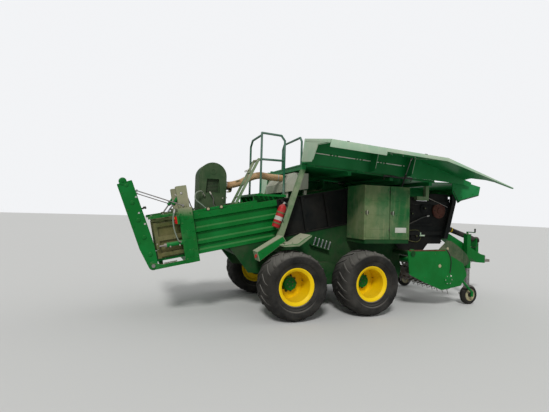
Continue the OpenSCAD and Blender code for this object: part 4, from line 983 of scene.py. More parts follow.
class BALER_OT_deck(bpy.types.Operator):
    """The blower's fittings and ribbed duct, the rails' feet, the ladder's treads and the knotters."""

    bl_idname = "baler.deck"
    bl_label = "Fit the Knotter Deck"

    def execute(self, context):
        self.blower()
        self.duct()
        self.rails()
        self.knotters()
        return {"FINISHED"}

    def blower(self):
        piece = Piece("blower_fittings", "machine", "dusty_paint")
        for side in (-1, 1):
            y = side * 0.261
            piece.bolt_ring(side, (-1.96, y, 2.43), 0.232, 7, 0.014, "olive_paint", math.pi)
            for k in range(9):
                z = 2.15 + 0.025 * k
                piece.slab(side * 0.203, 0.005, (-2.068 + 0.001 * k, z), (-1.852 - 0.001 * k, z + 0.006),
                           "black_paint", 0.001)
            for x in (-2.19, -1.73):
                piece.slab(side * 0.262, 0.004, (x - 0.008, 1.99), (x + 0.008, 2.42), "olive_paint", 0.002)
            piece.turned([(0.030, 0), (0.062, 0), (0.062, 0.004), (0.030, 0.006)], "olive_paint",
                         (-1.96, y, 2.52), (0, side, 0), 28)
        piece.rod((-1.73, 0, 2.25), (-1.60, 0, 2.25), 0.045, "casting", 24, edge=0.004)
        piece.rod((-1.60, 0, 2.25), (-1.56, 0, 2.25), 0.085, "casting", 32, edge=0.006)
        piece.finish()

    def duct(self):
        """The duct's ribs: every other ring of the tube is narrower."""
        piece = Piece("ribbed_duct", "machine", "hose")
        line = smooth_line([(-1.7097, -0.15, 2.29), (-1.62, -0.15, 2.29), (-1.42, -0.17, 2.35),
                            (-1.24, -0.20, 2.45), (-1.06, -0.22, 2.50), (-0.86, -0.22, 2.48),
                            (-0.60, -0.22, 2.47)], 26)
        radii = [1.0 if k % 2 else 0.90 for k in range(len(line))]
        piece.tube(line, 0.067, "air_duct", 24, radii)
        for point, ahead in ((line[6], line[8]), (line[-12], line[-10])):
            run = (ahead - point).normalized()
            piece.rod(point - run * 0.009, point + run * 0.009, 0.069, "zinc", 28)
        piece.finish("air_hose")

    def rails(self):
        piece = Piece("rail_fittings", "machine", "green_paint")
        for x, y in ((-1.16, -0.60), (-0.71, -0.60), (-1.16, 0.10)):
            piece.lathe([(0, 0), (0.045, 0), (0.045, 0.008), (0.022, 0.010), (0.0175, 0.03), (0, 0.03)],
                        "green_paint", Matrix.Translation((x, y, 2.1305)), 24)
            piece.top_bolts(2.138, [(x + dx, y + dy) for dx, dy in ((0.032, 0), (-0.032, 0), (0, 0.032),
                                                                    (0, -0.032))], 0.012)
        for y in (-0.633, -0.327):
            for share in (0.02, 0.95):
                low, high = Vector((-1.80, y, 2.02)), Vector((-1.21, y, 2.76))
                piece.bolt(low.lerp(high, share), (0, math.copysign(1, y + 0.48), 0), 0.018)
        for share in row(0.15, 0.27, 4):
            x, z = -1.805 + share * 0.603, 2.0386 + share * 0.7314
            for y in row(-0.60, 0.03, 9):
                piece.turned([(0.0135, -0.003), (0.0165, 0), (0.0135, 0.003)], "worn_steel", (x, y, z),
                             ACROSS, 12)
        piece.finish()

    def knotters(self):
        piece = Piece("knotter_row", "machine", "steel")
        shaft_x, shaft_z = -0.30, 2.40
        piece.rod((shaft_x, -0.545, shaft_z), (shaft_x, 0.545, shaft_z), 0.022, "bare_steel", 20)
        piece.rod((-0.52, -0.545, 2.34), (-0.52, 0.545, 2.34), 0.016, "bare_steel", 16)
        tooth = Vector((0.006, 0.008, 0.006))
        for y in row(-0.45, 0.18, 6):
            piece.turned([(0.023, 0), (0.085, 0), (0.092, 0.006), (0.092, 0.016), (0.085, 0.022),
                          (0.06, 0.016), (0.035, 0.016), (0.035, 0.03), (0.023, 0.03)], "casting",
                         (shaft_x, y, shaft_z), ACROSS, 40)
            for turn in turns(Matrix(), 16, "Y"):
                point = Vector((shaft_x, y + 0.011, shaft_z)) + turn @ Vector((0.093, 0, 0))
                piece.block(point - tooth, point + tooth, "casting", 0.0015, turn)
            piece.plate([(0, 0), (0.20, -0.02), (0.24, 0.03), (0.20, 0.10), (0.08, 0.13), (0.0, 0.08)],
                        0.014, "casting", Matrix.Translation((-0.555, y + 0.055, 2.30)) @ STANDING, 0.003)
            piece.spring((-0.40, y + 0.03, 2.32), (-0.40, y + 0.03, 2.42), 0.010, 0.0025, 9, "zinc")
            piece.rod((-0.42, y, 2.30), (-0.34, y - 0.02, 2.305), 0.012, "bare_steel", 10, 0.005)
            piece.hose([(shaft_x, y + 0.03, 2.47), (-0.36, y + 0.03, 2.50), (-0.45, y + 0.01, 2.49)], 0.004,
                       "black_plastic", 4, False)
        piece.finish()


class BALER_OT_hood(bpy.types.Operator):
    """Seals, edges, latches and bolts of the side panels, the struts' ends, the roof and the front hood."""

    bl_idname = "baler.hood"
    bl_label = "Fit the Hood"

    def execute(self, context):
        for side, place, angle in ((1, SHUT_PANEL, 0), (-1, OPEN_PANEL, PANEL_SWING)):
            self.panel(SIDE_NAMES[side], place)
            self.strut(SIDE_NAMES[side], side, angle)
        self.roof()
        return {"FINISHED"}

    def panel(self, name, place):
        """A panel's fittings. Its frame has X along the hinge, Y out over the roof and Z up."""
        piece = Piece(f"panel_fittings_{name}", f"panel_{name}", "green_paint", place)
        for x in row(0.10, 0.53, 4):
            piece.rod((x, 0.225, -0.022), (x + 0.49, 0.225, -0.022), 0.010, "pale_lens", 10)
            for clip in (x + 0.03, x + 0.43):
                piece.block((clip, 0.207, -0.036), (clip + 0.03, 0.243, -0.002), "green_paint")
        self.pale_edges(piece)
        for x in (0.14, 1.18, 2.04):
            piece.top_bolts(0.001, ((x + 0.03, 0.045), (x + 0.09, 0.045)), 0.018)
        for z in (-0.275, -0.595):
            piece.side_bolts(-1, 0.395, grid(row(0.12, 0.26, 9), [z]), 0.014)
        for x in (0.30, 1.85):
            self.latch(piece, x)
        for x in (1.40, 2.24):
            for k in range(4):
                piece.bolt((x + 0.004, 0.41, -0.1 - 0.22 * k), FORWARD, 0.012)
        for x in row(0.15, 0.155, 14):
            piece.block((x, 0.4495, -0.20), (x + 0.09, 0.4525, -0.196), "green_paint", 0.001)
        piece.finish()

    def pale_edges(self, piece):
        """The sheet edges of a panel in pale green, painted as the light they catch: its rear end, its
        lower rail, its nose and its webs.
        """
        paint = "painted_light_panel_edge"
        end_cover = [(0.040, -0.012), (0.444, -0.012), (0.444, -1.012), (0.404, -1.012), (0.364, -0.566),
                     (0.064, -0.432), (0.040, -0.062)]
        upright = Matrix.Rotation(math.radians(120), 4, (1, 1, 1))
        piece.plate(end_cover, 0.0025, paint, Matrix.Translation((-0.0025, 0, 0)) @ upright, 0.0008)
        piece.block((-0.006, 0.05, -0.040), (0.0, 0.445, 0.0), paint, 0.002)
        piece.block((-0.006, 0.395, -1.015), (0.0, 0.448, -0.040), paint, 0.002)
        rail_low, rail_high = -1.0225, -1.0203
        piece.block((0.002, 0.331, rail_low), (1.04, 0.449, rail_high), paint, 0.001)
        piece.block((1.04, 0.391, rail_low), (2.30, 0.449, rail_high), paint, 0.001)
        tip_x = 2.30 + 1.69 * math.cos(NOSE_LEAN)
        tip_y = 0.45 - 1.69 * math.sin(NOSE_LEAN)
        piece.plate([(2.30, 0.449), (2.30, 0.391), (2.62, 0.335), (tip_x, tip_y - 0.012),
                     (tip_x, tip_y - 0.001)], 0.0022, paint, Matrix.Translation((0, 0, rail_low)), 0.0006)
        piece.tube([(0.008, 0.395, -0.98), (0.008, 0.356, -0.56), (0.008, 0.10, -0.445)], 0.006, paint)
        for x in (1.404, 2.244):
            piece.tube([(x, 0.408, -0.98), (x, 0.391, -0.27), (x, 0.37, -0.242), (x, 0.10, -0.224)], 0.005,
                       paint)

    def latch(self, piece, x):
        piece.block((x, 0.449, -0.93), (x + 0.13, 0.456, -0.87), "black_plastic", 0.004)
        piece.rod((x + 0.065, 0.455, -0.90), (x + 0.065, 0.466, -0.90), 0.022, "black_plastic", 20,
                  edge=0.003)
        piece.block((x + 0.04, 0.40, -0.945), (x + 0.09, 0.43, -0.935), "zinc", 0.002)

    def strut(self, name, side, angle):
        """The gland and eye of a panel's gas strut, which runs from the frame to the swung panel."""
        x, reach, drop = 1.70, 0.385, 0.2
        hinge_z = HINGE_Z - math.tan(PANEL_SLOPE) * (x - HINGE_X)
        foot = Vector((x, side * 0.86, 2.33))
        tip = Vector((x, side * (HINGE_Y + reach * math.cos(angle) + drop * math.sin(angle)),
                      hinge_z + reach * math.sin(angle) - drop * math.cos(angle)))
        run = (tip - foot).normalized()
        barrel = Piece(f"strut_gland_{name}", f"barrel_{name}", "black_plastic")
        barrel.rod(foot + run * 0.300, foot + run * 0.324, 0.0175, "black_plastic", 20, edge=0.002)
        barrel.rod(foot + run * 0.020, foot + run * 0.040, 0.0172, "zinc", 20, edge=0.002)
        barrel.finish()
        rod = Piece(f"strut_eye_{name}", f"rod_{name}", "steel")
        rod.rod(tip - run * 0.045, tip - run * 0.020, 0.0105, "zinc", 6)
        rod.finish()

    def roof(self):
        piece = Piece("roof_fittings", "machine", "green_paint")
        drop = math.tan(PANEL_SLOPE)
        seam_bolts = (-0.82, -0.5, -0.17, 0.17, 0.5, 0.82)
        for x in (-0.43, 0.52, 1.47, 2.44):
            piece.top_bolts(HINGE_Z - drop * (x - HINGE_X), grid([x], seam_bolts), 0.018)
        for y in (-0.855, 0.855):
            low = Vector((-0.47, y, HINGE_Z - drop * 0.03 + 0.003))
            high = Vector((2.55, y, HINGE_Z - drop * 3.05 + 0.003))
            piece.tube([low, high], 0.008, "black_plastic")
        for y in (-0.28, 0.28):
            low = Vector((-0.46, y, HINGE_Z + 0.001))
            high = Vector((2.54, y, HINGE_Z - drop * 3.04 + 0.001))
            self.seam(piece, low, high)
        for side in (-1, 1):
            face = side * 0.8402
            piece.side_bolts(side, face, ((3.12, 2.42), (3.30, 2.24), (3.62, 2.32), (3.74, 2.44)), 0.018,
                             "green_paint")
            piece.tube([(x, side * 0.842, z) for x, z in ((3.07, 2.375), (3.215, 2.145), (3.285, 2.180),
                                                          (3.765, 2.303))], 0.007, "black_plastic")
        piece.finish()

    def seam(self, piece, low, high):
        """A low pressed rib along the roof."""
        turn = (high - low).normalized().to_track_quat("X", "Z").to_matrix().to_4x4()
        # The rib is in the hood green that is lightened as painted light.
        with piece.shape("painted_light_hood_paint", Matrix.Translation((low + high) / 2) @ turn) as bm:
            bmesh.ops.create_cube(bm, size=1, matrix=Matrix.Diagonal(((high - low).length, 0.06, 0.012, 1)))
            round_edges(bm, bm.edges[:], 0.005)


class BALER_OT_boxes(bpy.types.Operator):
    """Pressings, latches, hinges and the blank label of the twine boxes."""

    bl_idname = "baler.boxes"
    bl_label = "Fit the Twine Boxes"

    def execute(self, context):
        for side in (-1, 1):
            rear_body, front_body = ("twine_lid_rear", "twine_lid_front") if side < 0 else ("machine",) * 2
            self.door(side, rear_body, "rear", 0.60, 1.13, 0.61)
            self.door(side, front_body, "front", 1.16, 1.59, 1.58)
            self.cabinet(side)
        return {"FINISHED"}

    def door(self, side, body, end, low, high, hinge_x):
        """A door from low to high, with a pressed frame and ribs, three hinges, a latch and four bolts."""
        piece = Piece(f"twine_door_{end}_{SIDE_NAMES[side]}", body, "green_paint")
        face = side * 1.2755
        left, right, bottom, top = low + 0.035, high - 0.035, 1.400, 2.310
        for a, b in (((left, bottom), (right, bottom + 0.008)), ((left, top - 0.008), (right, top)),
                     ((left, bottom), (left + 0.008, top)), ((right - 0.008, bottom), (right, top))):
            piece.slab(face, 0.0025, a, b, "door_paint", 0.002)
        for z in row(1.55, 0.26, 3):
            piece.slab(face, 0.0022, (low + 0.10, z), (high - 0.10, z + 0.022), "door_paint", 0.002)
        for z in (1.45, 1.85, 2.25):
            piece.rod((hinge_x, side * 1.276, z - 0.035), (hinge_x, side * 1.276, z + 0.035), 0.008,
                      "door_paint", 12)
        handle = low + 0.05
        piece.turned([(0, 0), (0.040, 0), (0.040, 0.004), (0.032, 0.007), (0, 0.003)], "black_plastic",
                     (handle, side * 1.2745, 1.85), (0, side, 0), 28)
        piece.rod((handle, side * 1.288, 1.812), (handle, side * 1.288, 1.888), 0.006, "zinc", 12,
                  edge=0.002)
        for z in (1.43, 2.28):
            piece.side_bolts(side, side * 1.2745, grid((low + 0.02, high - 0.02), [z]), 0.011,
                             "green_paint")
        if end == "front" and side < 0:
            piece.slab(face, 0.0026, (1.27, 1.49), (1.52, 1.585), "blank_label", 0.001)
        piece.finish()

    def cabinet(self, side):
        piece = Piece(f"twine_box_fittings_{SIDE_NAMES[side]}", "machine", "green_paint")
        for z in (1.539, 2.243):
            piece.slab(side * 1.262, 0.012, (1.134, z - 0.022), (1.155, z + 0.022), "black_plastic", 0.004)
        for z in (1.42, 1.85, 2.29):
            for y in (side * 0.74, side * 1.19):
                piece.bolt((0.60, y, z), (-1, 0, 0), 0.014, "green_paint")
                piece.bolt((1.59, y, z), FORWARD, 0.014, "green_paint")
        for low, high in ((0.62, 1.09), (1.20, 1.57)):
            piece.slab(side * 0.96, 0.20, (low, 2.350), (high, 2.356), "door_paint")
        piece.tube([(1.27, side * 0.90, 2.58), (1.50, side * 0.90, 2.575), (1.96, side * 0.88, 2.560)],
                   0.020, "hose_rubber", 14)
        for x in (1.29, 1.94):
            piece.rod((x, side * 0.86, 2.50), (x, side * 0.89, 2.575), 0.010, "black_paint", 10)
        piece.finish()


class BALER_OT_drive(bpy.types.Operator):
    """Bolts of the flywheel and the gearbox, the shaft's guard, and the machinery behind the twine box."""

    bl_idname = "baler.drive"
    bl_label = "Fit the Drive"

    def execute(self, context):
        self.flywheel()
        self.gearbox()
        self.shaft()
        self.front_machinery()
        return {"FINISHED"}

    def flywheel(self):
        piece = Piece("flywheel_fittings", "flywheel", "green_paint")
        centre = Matrix.Translation((0, 0, FLYWHEEL_Z))
        for turn in turns(centre, 8, "X"):
            piece.bolt(turn @ Vector((2.490, 0.085, 0)), FORWARD, 0.024)
            piece.bolt(turn @ Vector((2.430, 0.350, 0)), FORWARD, 0.020, "green_paint")
        for turn in turns(centre, 4, "X", 0.5):
            piece.rod(turn @ Vector((2.351, 0, 0.22)), turn @ Vector((2.358, 0, 0.22)), 0.045,
                      "black_paint", 24)
        piece.turned([(0.02, 0), (0.06, 0), (0.06, 0.035), (0.045, 0.045), (0.02, 0.045)], "casting",
                     (2.49, 0, FLYWHEEL_Z), FORWARD, 32)
        piece.finish()

    def gearbox(self):
        piece = Piece("gearbox_fittings", "machine", "cast")
        for side in (-1, 1):
            cap = (SHAFT_X, side * 0.400, SHAFT_Z)
            piece.bolt_ring(side, cap, 0.148, 10, 0.020)
            piece.turned(boss(0.07, 0.02, 0.05, 0.035), "casting", cap, (0, side, 0), 32)
            for x in (1.74, 1.98, 2.16):
                piece.slab(side * 0.264, 0.006, (x, 1.74), (x + 0.016, 2.13), "casting")
        piece.top_bolts(2.15, grid((1.74, 1.96, 2.18), (-0.22, 0.22)), 0.022)
        piece.lathe([(0, 0), (0.02, 0), (0.02, 0.03), (0.032, 0.035), (0.032, 0.055), (0, 0.06)],
                    "black_plastic", Matrix.Translation((1.85, 0.05, 2.15)), 20)
        piece.finish()

    def shaft(self):
        """The guard's cones at both ends of the parked shaft, and its yellow bands."""
        piece = Piece("drive_shaft_guard", "machine", "hose")
        a, b = Vector((2.54, 0, 1.90)), Vector((4.70, 0, 1.25))
        run = (b - a).normalized()
        cone = [(0.060, -0.02), (0.066, 0), (0.078, 0.03), (0.084, 0.07), (0.080, 0.07), (0.072, 0.03),
                (0.060, 0.0)]
        for share, way, outline in ((0.012, 1, [(r, 0.05 - h) for r, h in cone]), (0.955, -1, cone)):
            point = a.lerp(b, share)
            piece.turned(outline, "black_plastic", point, run, 32)
            for k in range(3):
                piece.turned([(0.0605, 0), (0.0645, 0.004), (0.0605, 0.008)], "black_plastic",
                             point + run * (0.09 + 0.02 * k) * way, run, 28)
        for share in (0.36, 0.60):
            piece.turned([(0.0602, 0), (0.067, 0.003), (0.067, 0.022), (0.0602, 0.025)], "yellow_paint",
                         a.lerp(b, share), run, 32)
        piece.finish()

    def front_machinery(self):
        """What shows between the twine box and the pillar on each side."""
        piece = Piece("front_machinery", "machine", "cast")
        dark = "dark_machinery"
        for side in (-1, 1):
            y = side * 0.708
            outward = (0, side, 0)
            piece.turned([(0, 0), (0.165, 0), (0.165, 0.030), (0.145, 0.042), (0.07, 0.046), (0.06, 0.062),
                          (0, 0.062)], "red_brown", (2.80, y, 1.94), outward, 40)
            piece.bolt_ring(side, (2.80, y + side * 0.042, 1.94), 0.13, 8, 0.016, dark)
            low, high = sorted((y, y + side * 0.03))
            piece.block((2.02, low, 1.62), (2.62, high, 1.66), dark, 0.004)
            for x, z, size in ((1.78, 1.90, 0.12), (2.10, 1.86, 0.09), (2.42, 1.98, 0.10),
                               (2.22, 1.40, 0.13), (1.86, 1.42, 0.08)):
                piece.turned([(0, 0), (size, 0), (size, 0.012), (size * 0.86, 0.020), (size * 0.3, 0.022),
                              (size * 0.26, 0.045), (0, 0.045)], dark, (x, y, z), outward, 32)
                piece.bolt((x, y + side * 0.045, z), outward, 0.022, "worn_steel")
            self.chain(piece, y + side * 0.012, Vector((1.86, 0, 1.42)), Vector((2.22, 0, 1.40)), 0.085,
                       0.125)
            if side < 0:
                piece.hose([(1.72, y - 0.012, 1.55), (1.90, y - 0.035, 1.60), (2.15, y - 0.04, 1.70),
                            (2.35, y - 0.03, 1.78), (2.52, y - 0.012, 1.82)], 0.012)
                piece.hose([(1.70, y - 0.012, 2.05), (1.95, y - 0.03, 2.08), (2.20, y - 0.03, 2.06),
                            (2.42, y - 0.012, 2.09)], 0.010)
            low, high = sorted((y, y + side * 0.05))
            # Two blocks in the pale green of painted light on edges.
            piece.block((2.30, low, 1.395), (2.42, high, 1.425), "painted_light_panel_edge", 0.004)
            piece.block((2.30, low, 1.425), (2.325, high, 1.475), "painted_light_panel_edge", 0.004)
            piece.rod((2.52, y + side * 0.035, 2.19), (3.02, y + side * 0.035, 2.02), 0.008, "bare_steel",
                      10)
            piece.side_bolts(side, side * 0.706, grid((2.62, 2.90), (1.28, 1.34)), 0.016, dark)
            piece.slab(side * 0.699, 0.003, (2.51, 2.185), (3.07, 2.295), dark, 0.001)
        piece.finish()

    def chain(self, piece, y, a, b, small, large):
        """A roller chain round a small sprocket at a and a large one at b."""
        along = (b - a).normalized()
        up = Vector((-along.z, 0, along.x))
        loop = []
        for centre, radius, start, steps in ((a, small, 0.5, 12), (b, large, -0.5, 16)):
            for k in range(steps + 1):
                turn = math.pi * (start + k / steps)
                loop.append(centre + (along * math.cos(turn) + up * math.sin(turn)) * radius)
        loop.append(loop[0])
        lengths = [(q - p).length for p, q in zip(loop, loop[1:])]
        pitch = 0.0254
        count = int(sum(lengths) / pitch)
        spots = []
        for k in range(count):
            left = k * sum(lengths) / count
            i = 0
            while left > lengths[i]:
                left -= lengths[i]
                i += 1
            spots.append(loop[i].lerp(loop[i + 1], left / lengths[i]))
        for p, q in zip(spots, spots[1:] + spots[:1]):
            middle = Vector(((p.x + q.x) / 2, y, (p.z + q.z) / 2))
            lean = math.atan2(q.z - p.z, q.x - p.x)
            reach = Vector(((q - p).length / 2 + 0.004, 0.009, 0.007))
            piece.block(middle - reach, middle + reach, "worn_steel", 0, Matrix.Rotation(-lean, 4, "Y"))


class BALER_OT_pickup(bpy.types.Operator):
    """Coils of the tines, stripper bands, the guard's fingers and the gauge wheels' rims."""

    bl_idname = "baler.pickup"
    bl_label = "Fit the Pickup"

    def execute(self, context):
        self.reel()
        self.bands()
        self.guard()
        self.gauge_wheels()
        return {"FINISHED"}


    def reel(self):
        piece = Piece("tine_coils", "reel", "steel")
        axis = Matrix.Translation((REEL_X, 0, REEL_Z))
        for turn in turns(axis, TINE_ROWS, "Y"):
            for k in range(TINES):
                y = TINE_FIRST + k * TINE_SPAN / (TINES - 1)
                piece.rod(turn @ Vector((0.190, y - 0.026, 0)), turn @ Vector((0.190, y + 0.026, 0)), 0.021,
                          "casting", 12)
                piece.rod(turn @ Vector((0.205, y, 0)), turn @ Vector((0.318, y, 0)), 0.0065, "bare_steel",
                          6, 0.0045)
        for side in (-1, 1):
            for turn in turns(axis, TINE_ROWS, "Y", 0.5):
                piece.bolt(turn @ Vector((0.12, side * 1.15, 0)), (0, side, 0), 0.018)
        piece.finish()

    def bands(self):
        """Bands that curve round the reel between its tines, and the fittings of the side plates."""
        piece = Piece("stripper_bands", "pickup", "green_paint")
        line = [(2.175, 0.948), (2.30, 0.905), (2.45, 0.840), (2.56, 0.795)]
        radius = 0.224
        half = 0.042
        for degrees in row(100, -13.5, 15):
            angle = math.radians(degrees)
            line.append((REEL_X + radius * math.cos(angle), REEL_Z + radius * math.sin(angle)))
        for k in range(TINES - 1):
            y = TINE_FIRST + (k + 0.5) * TINE_SPAN / (TINES - 1)
            piece.strip(line, 0.003, y - half, y + half, "bare_steel")
        for side in (-1, 1):
            self.side_plate(piece, side, side * 1.195)
        piece.finish()

    def side_plate(self, piece, side, y):
        outward = (0, side, 0)
        if side < 0:
            cable = smooth_line([(2.583, y, 1.163), (2.66, y, 1.05), (2.70, y, 0.90), (2.674, y, 0.695)], 5)
            piece.tube(cable, 0.011, "black_plastic", 10)
        piece.bolt((2.701, y, 0.635), outward, 0.026, "pale_lens")
        piece.turned(boss(0.034, 0.004, 0.028, 0.008), "cream_paint", (2.417, y, 0.840), outward, 24)
        piece.slab(y, 0.006, (1.66, 1.135), (2.55, 1.160), "rust")
        piece.side_bolts(side, y - side * 0.001, ((1.70, 0.74), (1.70, 1.08), (2.05, 0.62), (2.45, 0.46),
                                                  (2.95, 0.52), (2.95, 0.84), (2.30, 1.08)), 0.018,
                         "green_paint")
        piece.turned(boss(0.10, 0.008, 0.085, 0.014), "green_paint", (REEL_X, y - side * 0.001, REEL_Z),
                     outward, 36)
        piece.bolt_ring(side, (REEL_X, y + side * 0.013, REEL_Z), 0.08, 6, 0.014)
        piece.rod((1.75, side * 1.194, 1.09), (1.75, side * 1.204, 1.09), 0.06, "green_paint", 32,
                  edge=0.003)

    def guard(self):
        piece = Piece("guard_fingers", "guard", "steel")
        for y in row(-0.86, 0.1075, 17):
            finger = [(2.935, y, 0.850), (2.86, y, 0.862), (2.74, y, 0.905), (2.645, y, 0.945)]
            piece.tube(smooth_line(finger, 3), 0.006, "bare_steel", 6)
        for side in (-1, 1):
            y = side * 0.924
            piece.turned(boss(0.030, 0.004, 0.024, 0.008), "cream_paint", (2.87, y, 1.15), (0, side, 0), 24)
            piece.side_bolts(side, y, ((2.72, 1.12), (3.08, 1.05), (3.28, 0.92)), 0.018, "guard_paint")
            for turn in turns(Matrix.Translation((3.0, side * 0.4, 0.90)), 10, "Y"):
                piece.rod(turn @ Vector((0.0805, -0.30, 0)), turn @ Vector((0.0805, 0.30, 0)), 0.004,
                          "guard_paint", 6)
        piece.finish()

    def gauge_wheels(self):
        for side, name in SIDE_NAMES.items():
            piece = Piece(f"gauge_rim_{name}", f"gauge_{name}", "rim_yellow")
            centre = (3.36, side * 1.01, 0.20)
            for way in (-1, 1):
                place = stand_along(centre, (0, way, 0))
                piece.lathe([(0.046, 0.020), (0.125, 0.020), (0.125, 0.050), (0.118, 0.050), (0.114, 0.026),
                             (0.060, 0.030), (0.046, 0.040)], "cream_paint", place, 40)
                for turn in turns(place, 5):
                    piece.bolt(turn @ Vector((0.082, 0, 0.028)), (0, way, 0), 0.014)
            for h in row(-0.018, 0.018, 3):
                piece.turned([(0.198, h - 0.004), (0.2015, h - 0.002), (0.2015, h + 0.002),
                              (0.198, h + 0.004)], "tyre_rubber", centre, ACROSS, 48)
            piece.finish()


class BALER_OT_drawbar(bpy.types.Operator):
    """Hoses, couplers, safety chain and jack fittings of the drawbar."""

    bl_idname = "baler.drawbar"
    bl_label = "Fit the Drawbar"

    def execute(self, context):
        self.hoses()
        self.bolts()
        self.jack()
        return {"FINISHED"}

    def hoses(self):
        """Four hoses to a row of couplers, and a cable to its plug."""
        piece = Piece("drawbar_hoses", "machine", "hose")
        for k in range(4):
            y = 0.045 + 0.02 * k
            piece.hose([(2.42, 0.40 + y, 1.712), (2.62, 0.33 + y, 1.66), (2.95, 0.205 + y, 1.60),
                        (3.40, 0.05 + y, 1.524), (3.60, y - 0.005, 1.494), (3.95, y, 1.325),
                        (4.30, y, 1.148), (4.50, 0.06 + y, 1.08), (4.60, 0.085 + y, 1.16 + 0.02 * k)],
                       0.010)
        for x, z, y in ((2.95, 1.585, 0.215), (3.56, 1.492, 0.025), (3.95, 1.305, 0.025),
                        (4.28, 1.140, 0.025)):
            piece.block((x, y, z), (x + 0.03, y + 0.10, z + 0.028), "black_plastic", 0.004)
        for k in range(4):
            tip = Vector((4.60, 0.13 + 0.02 * k, 1.19 + 0.02 * k))
            ring = tip + Vector((0, 0, 0.045))
            piece.rod(tip, ring, 0.014, "zinc", 16, edge=0.002)
            piece.rod(ring, tip + Vector((0, 0, 0.075)), 0.011, "red_lens", 16, edge=0.002)
        piece.block((4.575, 0.098, 1.17), (4.625, 0.215, 1.178), "green_paint", 0.002)
        piece.hose([(4.40, -0.06, 1.115), (4.52, -0.085, 1.09), (4.60, -0.11, 1.15), (4.61, -0.12, 1.22)],
                   0.007, "black_plastic")
        piece.rod((4.61, -0.12, 1.22), (4.61, -0.12, 1.30), 0.022, "black_plastic", 20, edge=0.004)
        piece.finish()

    def bolts(self):
        piece = Piece("drawbar_fittings", "machine", "green_paint")
        for side in (-1, 1):
            for z in (1.47, 1.66):
                for y in (0.39, 0.54):
                    piece.bolt((2.330, side * y, z), FORWARD, 0.026)
            for z in (0.755, 0.86):
                piece.bolt((4.870, side * 0.07, z), FORWARD, 0.030)
            piece.side_bolts(side, side * 0.100, ((4.575, 0.95), (4.575, 1.20)), 0.018, "green_paint")
        piece.top_bolts(0.790, grid((4.855, 4.915), (-0.055, 0.055)), 0.030)
        piece.lathe(collar(0.0255, 0.034, -0.032, 0.032), "bare_steel",
                    Matrix.Translation((EYE.x, 0, EYE.z)), 40)
        self.safety_chain(piece)
        piece.finish()

    def safety_chain(self, piece):
        """A slack chain of oval links, each turned a quarter from the last."""
        wide, wire = 0.009, 0.0045
        spots = smooth_line([(4.80, 0.115, 0.84), (4.74, 0.135, 0.74), (4.62, 0.14, 0.69),
                             (4.50, 0.135, 0.74), (4.44, 0.118, 0.83)], 5)
        for k, (p, q) in enumerate(zip(spots, spots[1:])):
            place = stand_along((p + q) / 2, q - p) @ Matrix.Rotation(math.radians(90 * (k % 2)), 4, "Z")
            long = (q - p).length / 2 + wire * 0.5
            oval = [(1, -0.6), (1, 0.6), (0.5, 1), (-0.5, 1), (-1, 0.6), (-1, -0.6), (-0.5, -1), (0.5, -1),
                    (1, -0.6)]
            piece.tube([place @ Vector((u * wide, 0, v * long)) for u, v in oval], wire * 0.7,
                       "bare_steel", 6)

    def jack(self):
        piece = Piece("jack_fittings", "machine", "green_paint")
        piece.rod((JACK_X, -0.435, 1.478), (JACK_X, -0.435, 1.556), 0.0175, "black_plastic", 20, edge=0.004)
        piece.lathe(boss(0.034, 0.010, 0.026, 0.016), "casting",
                    Matrix.Translation((JACK_X, JACK_Y, 1.42)), 28)
        piece.slab(JACK_Y, 0.062, (4.088, 0.62), (4.212, 0.632), "green_paint", 0.002)
        piece.slab(JACK_Y, 0.062, (4.088, 1.402), (4.212, 1.421), "green_paint")
        piece.side_bolts(1, -0.166, grid((4.12, 4.18), (1.03, 1.13)), 0.014)
        piece.finish()
        foot = Piece("jack_foot_fittings", "jack_leg", "steel")
        foot.lathe([(0, 0.024), (0.085, 0.024), (0.075, 0.030), (0.062, 0.032), (0, 0.032)], "casting",
                   Matrix.Translation((JACK_X, JACK_Y, 0)), 36)
        corners = grid((JACK_X - 0.105, JACK_X + 0.105), (JACK_Y - 0.085, JACK_Y + 0.085))
        foot.top_bolts(0.024, corners, 0.018)
        for z in row(0.16, 0.10, 5):
            foot.rod((JACK_X, -0.2652, z), (JACK_X, -0.2660, z), 0.011, "black_paint", 20)
        foot.finish()


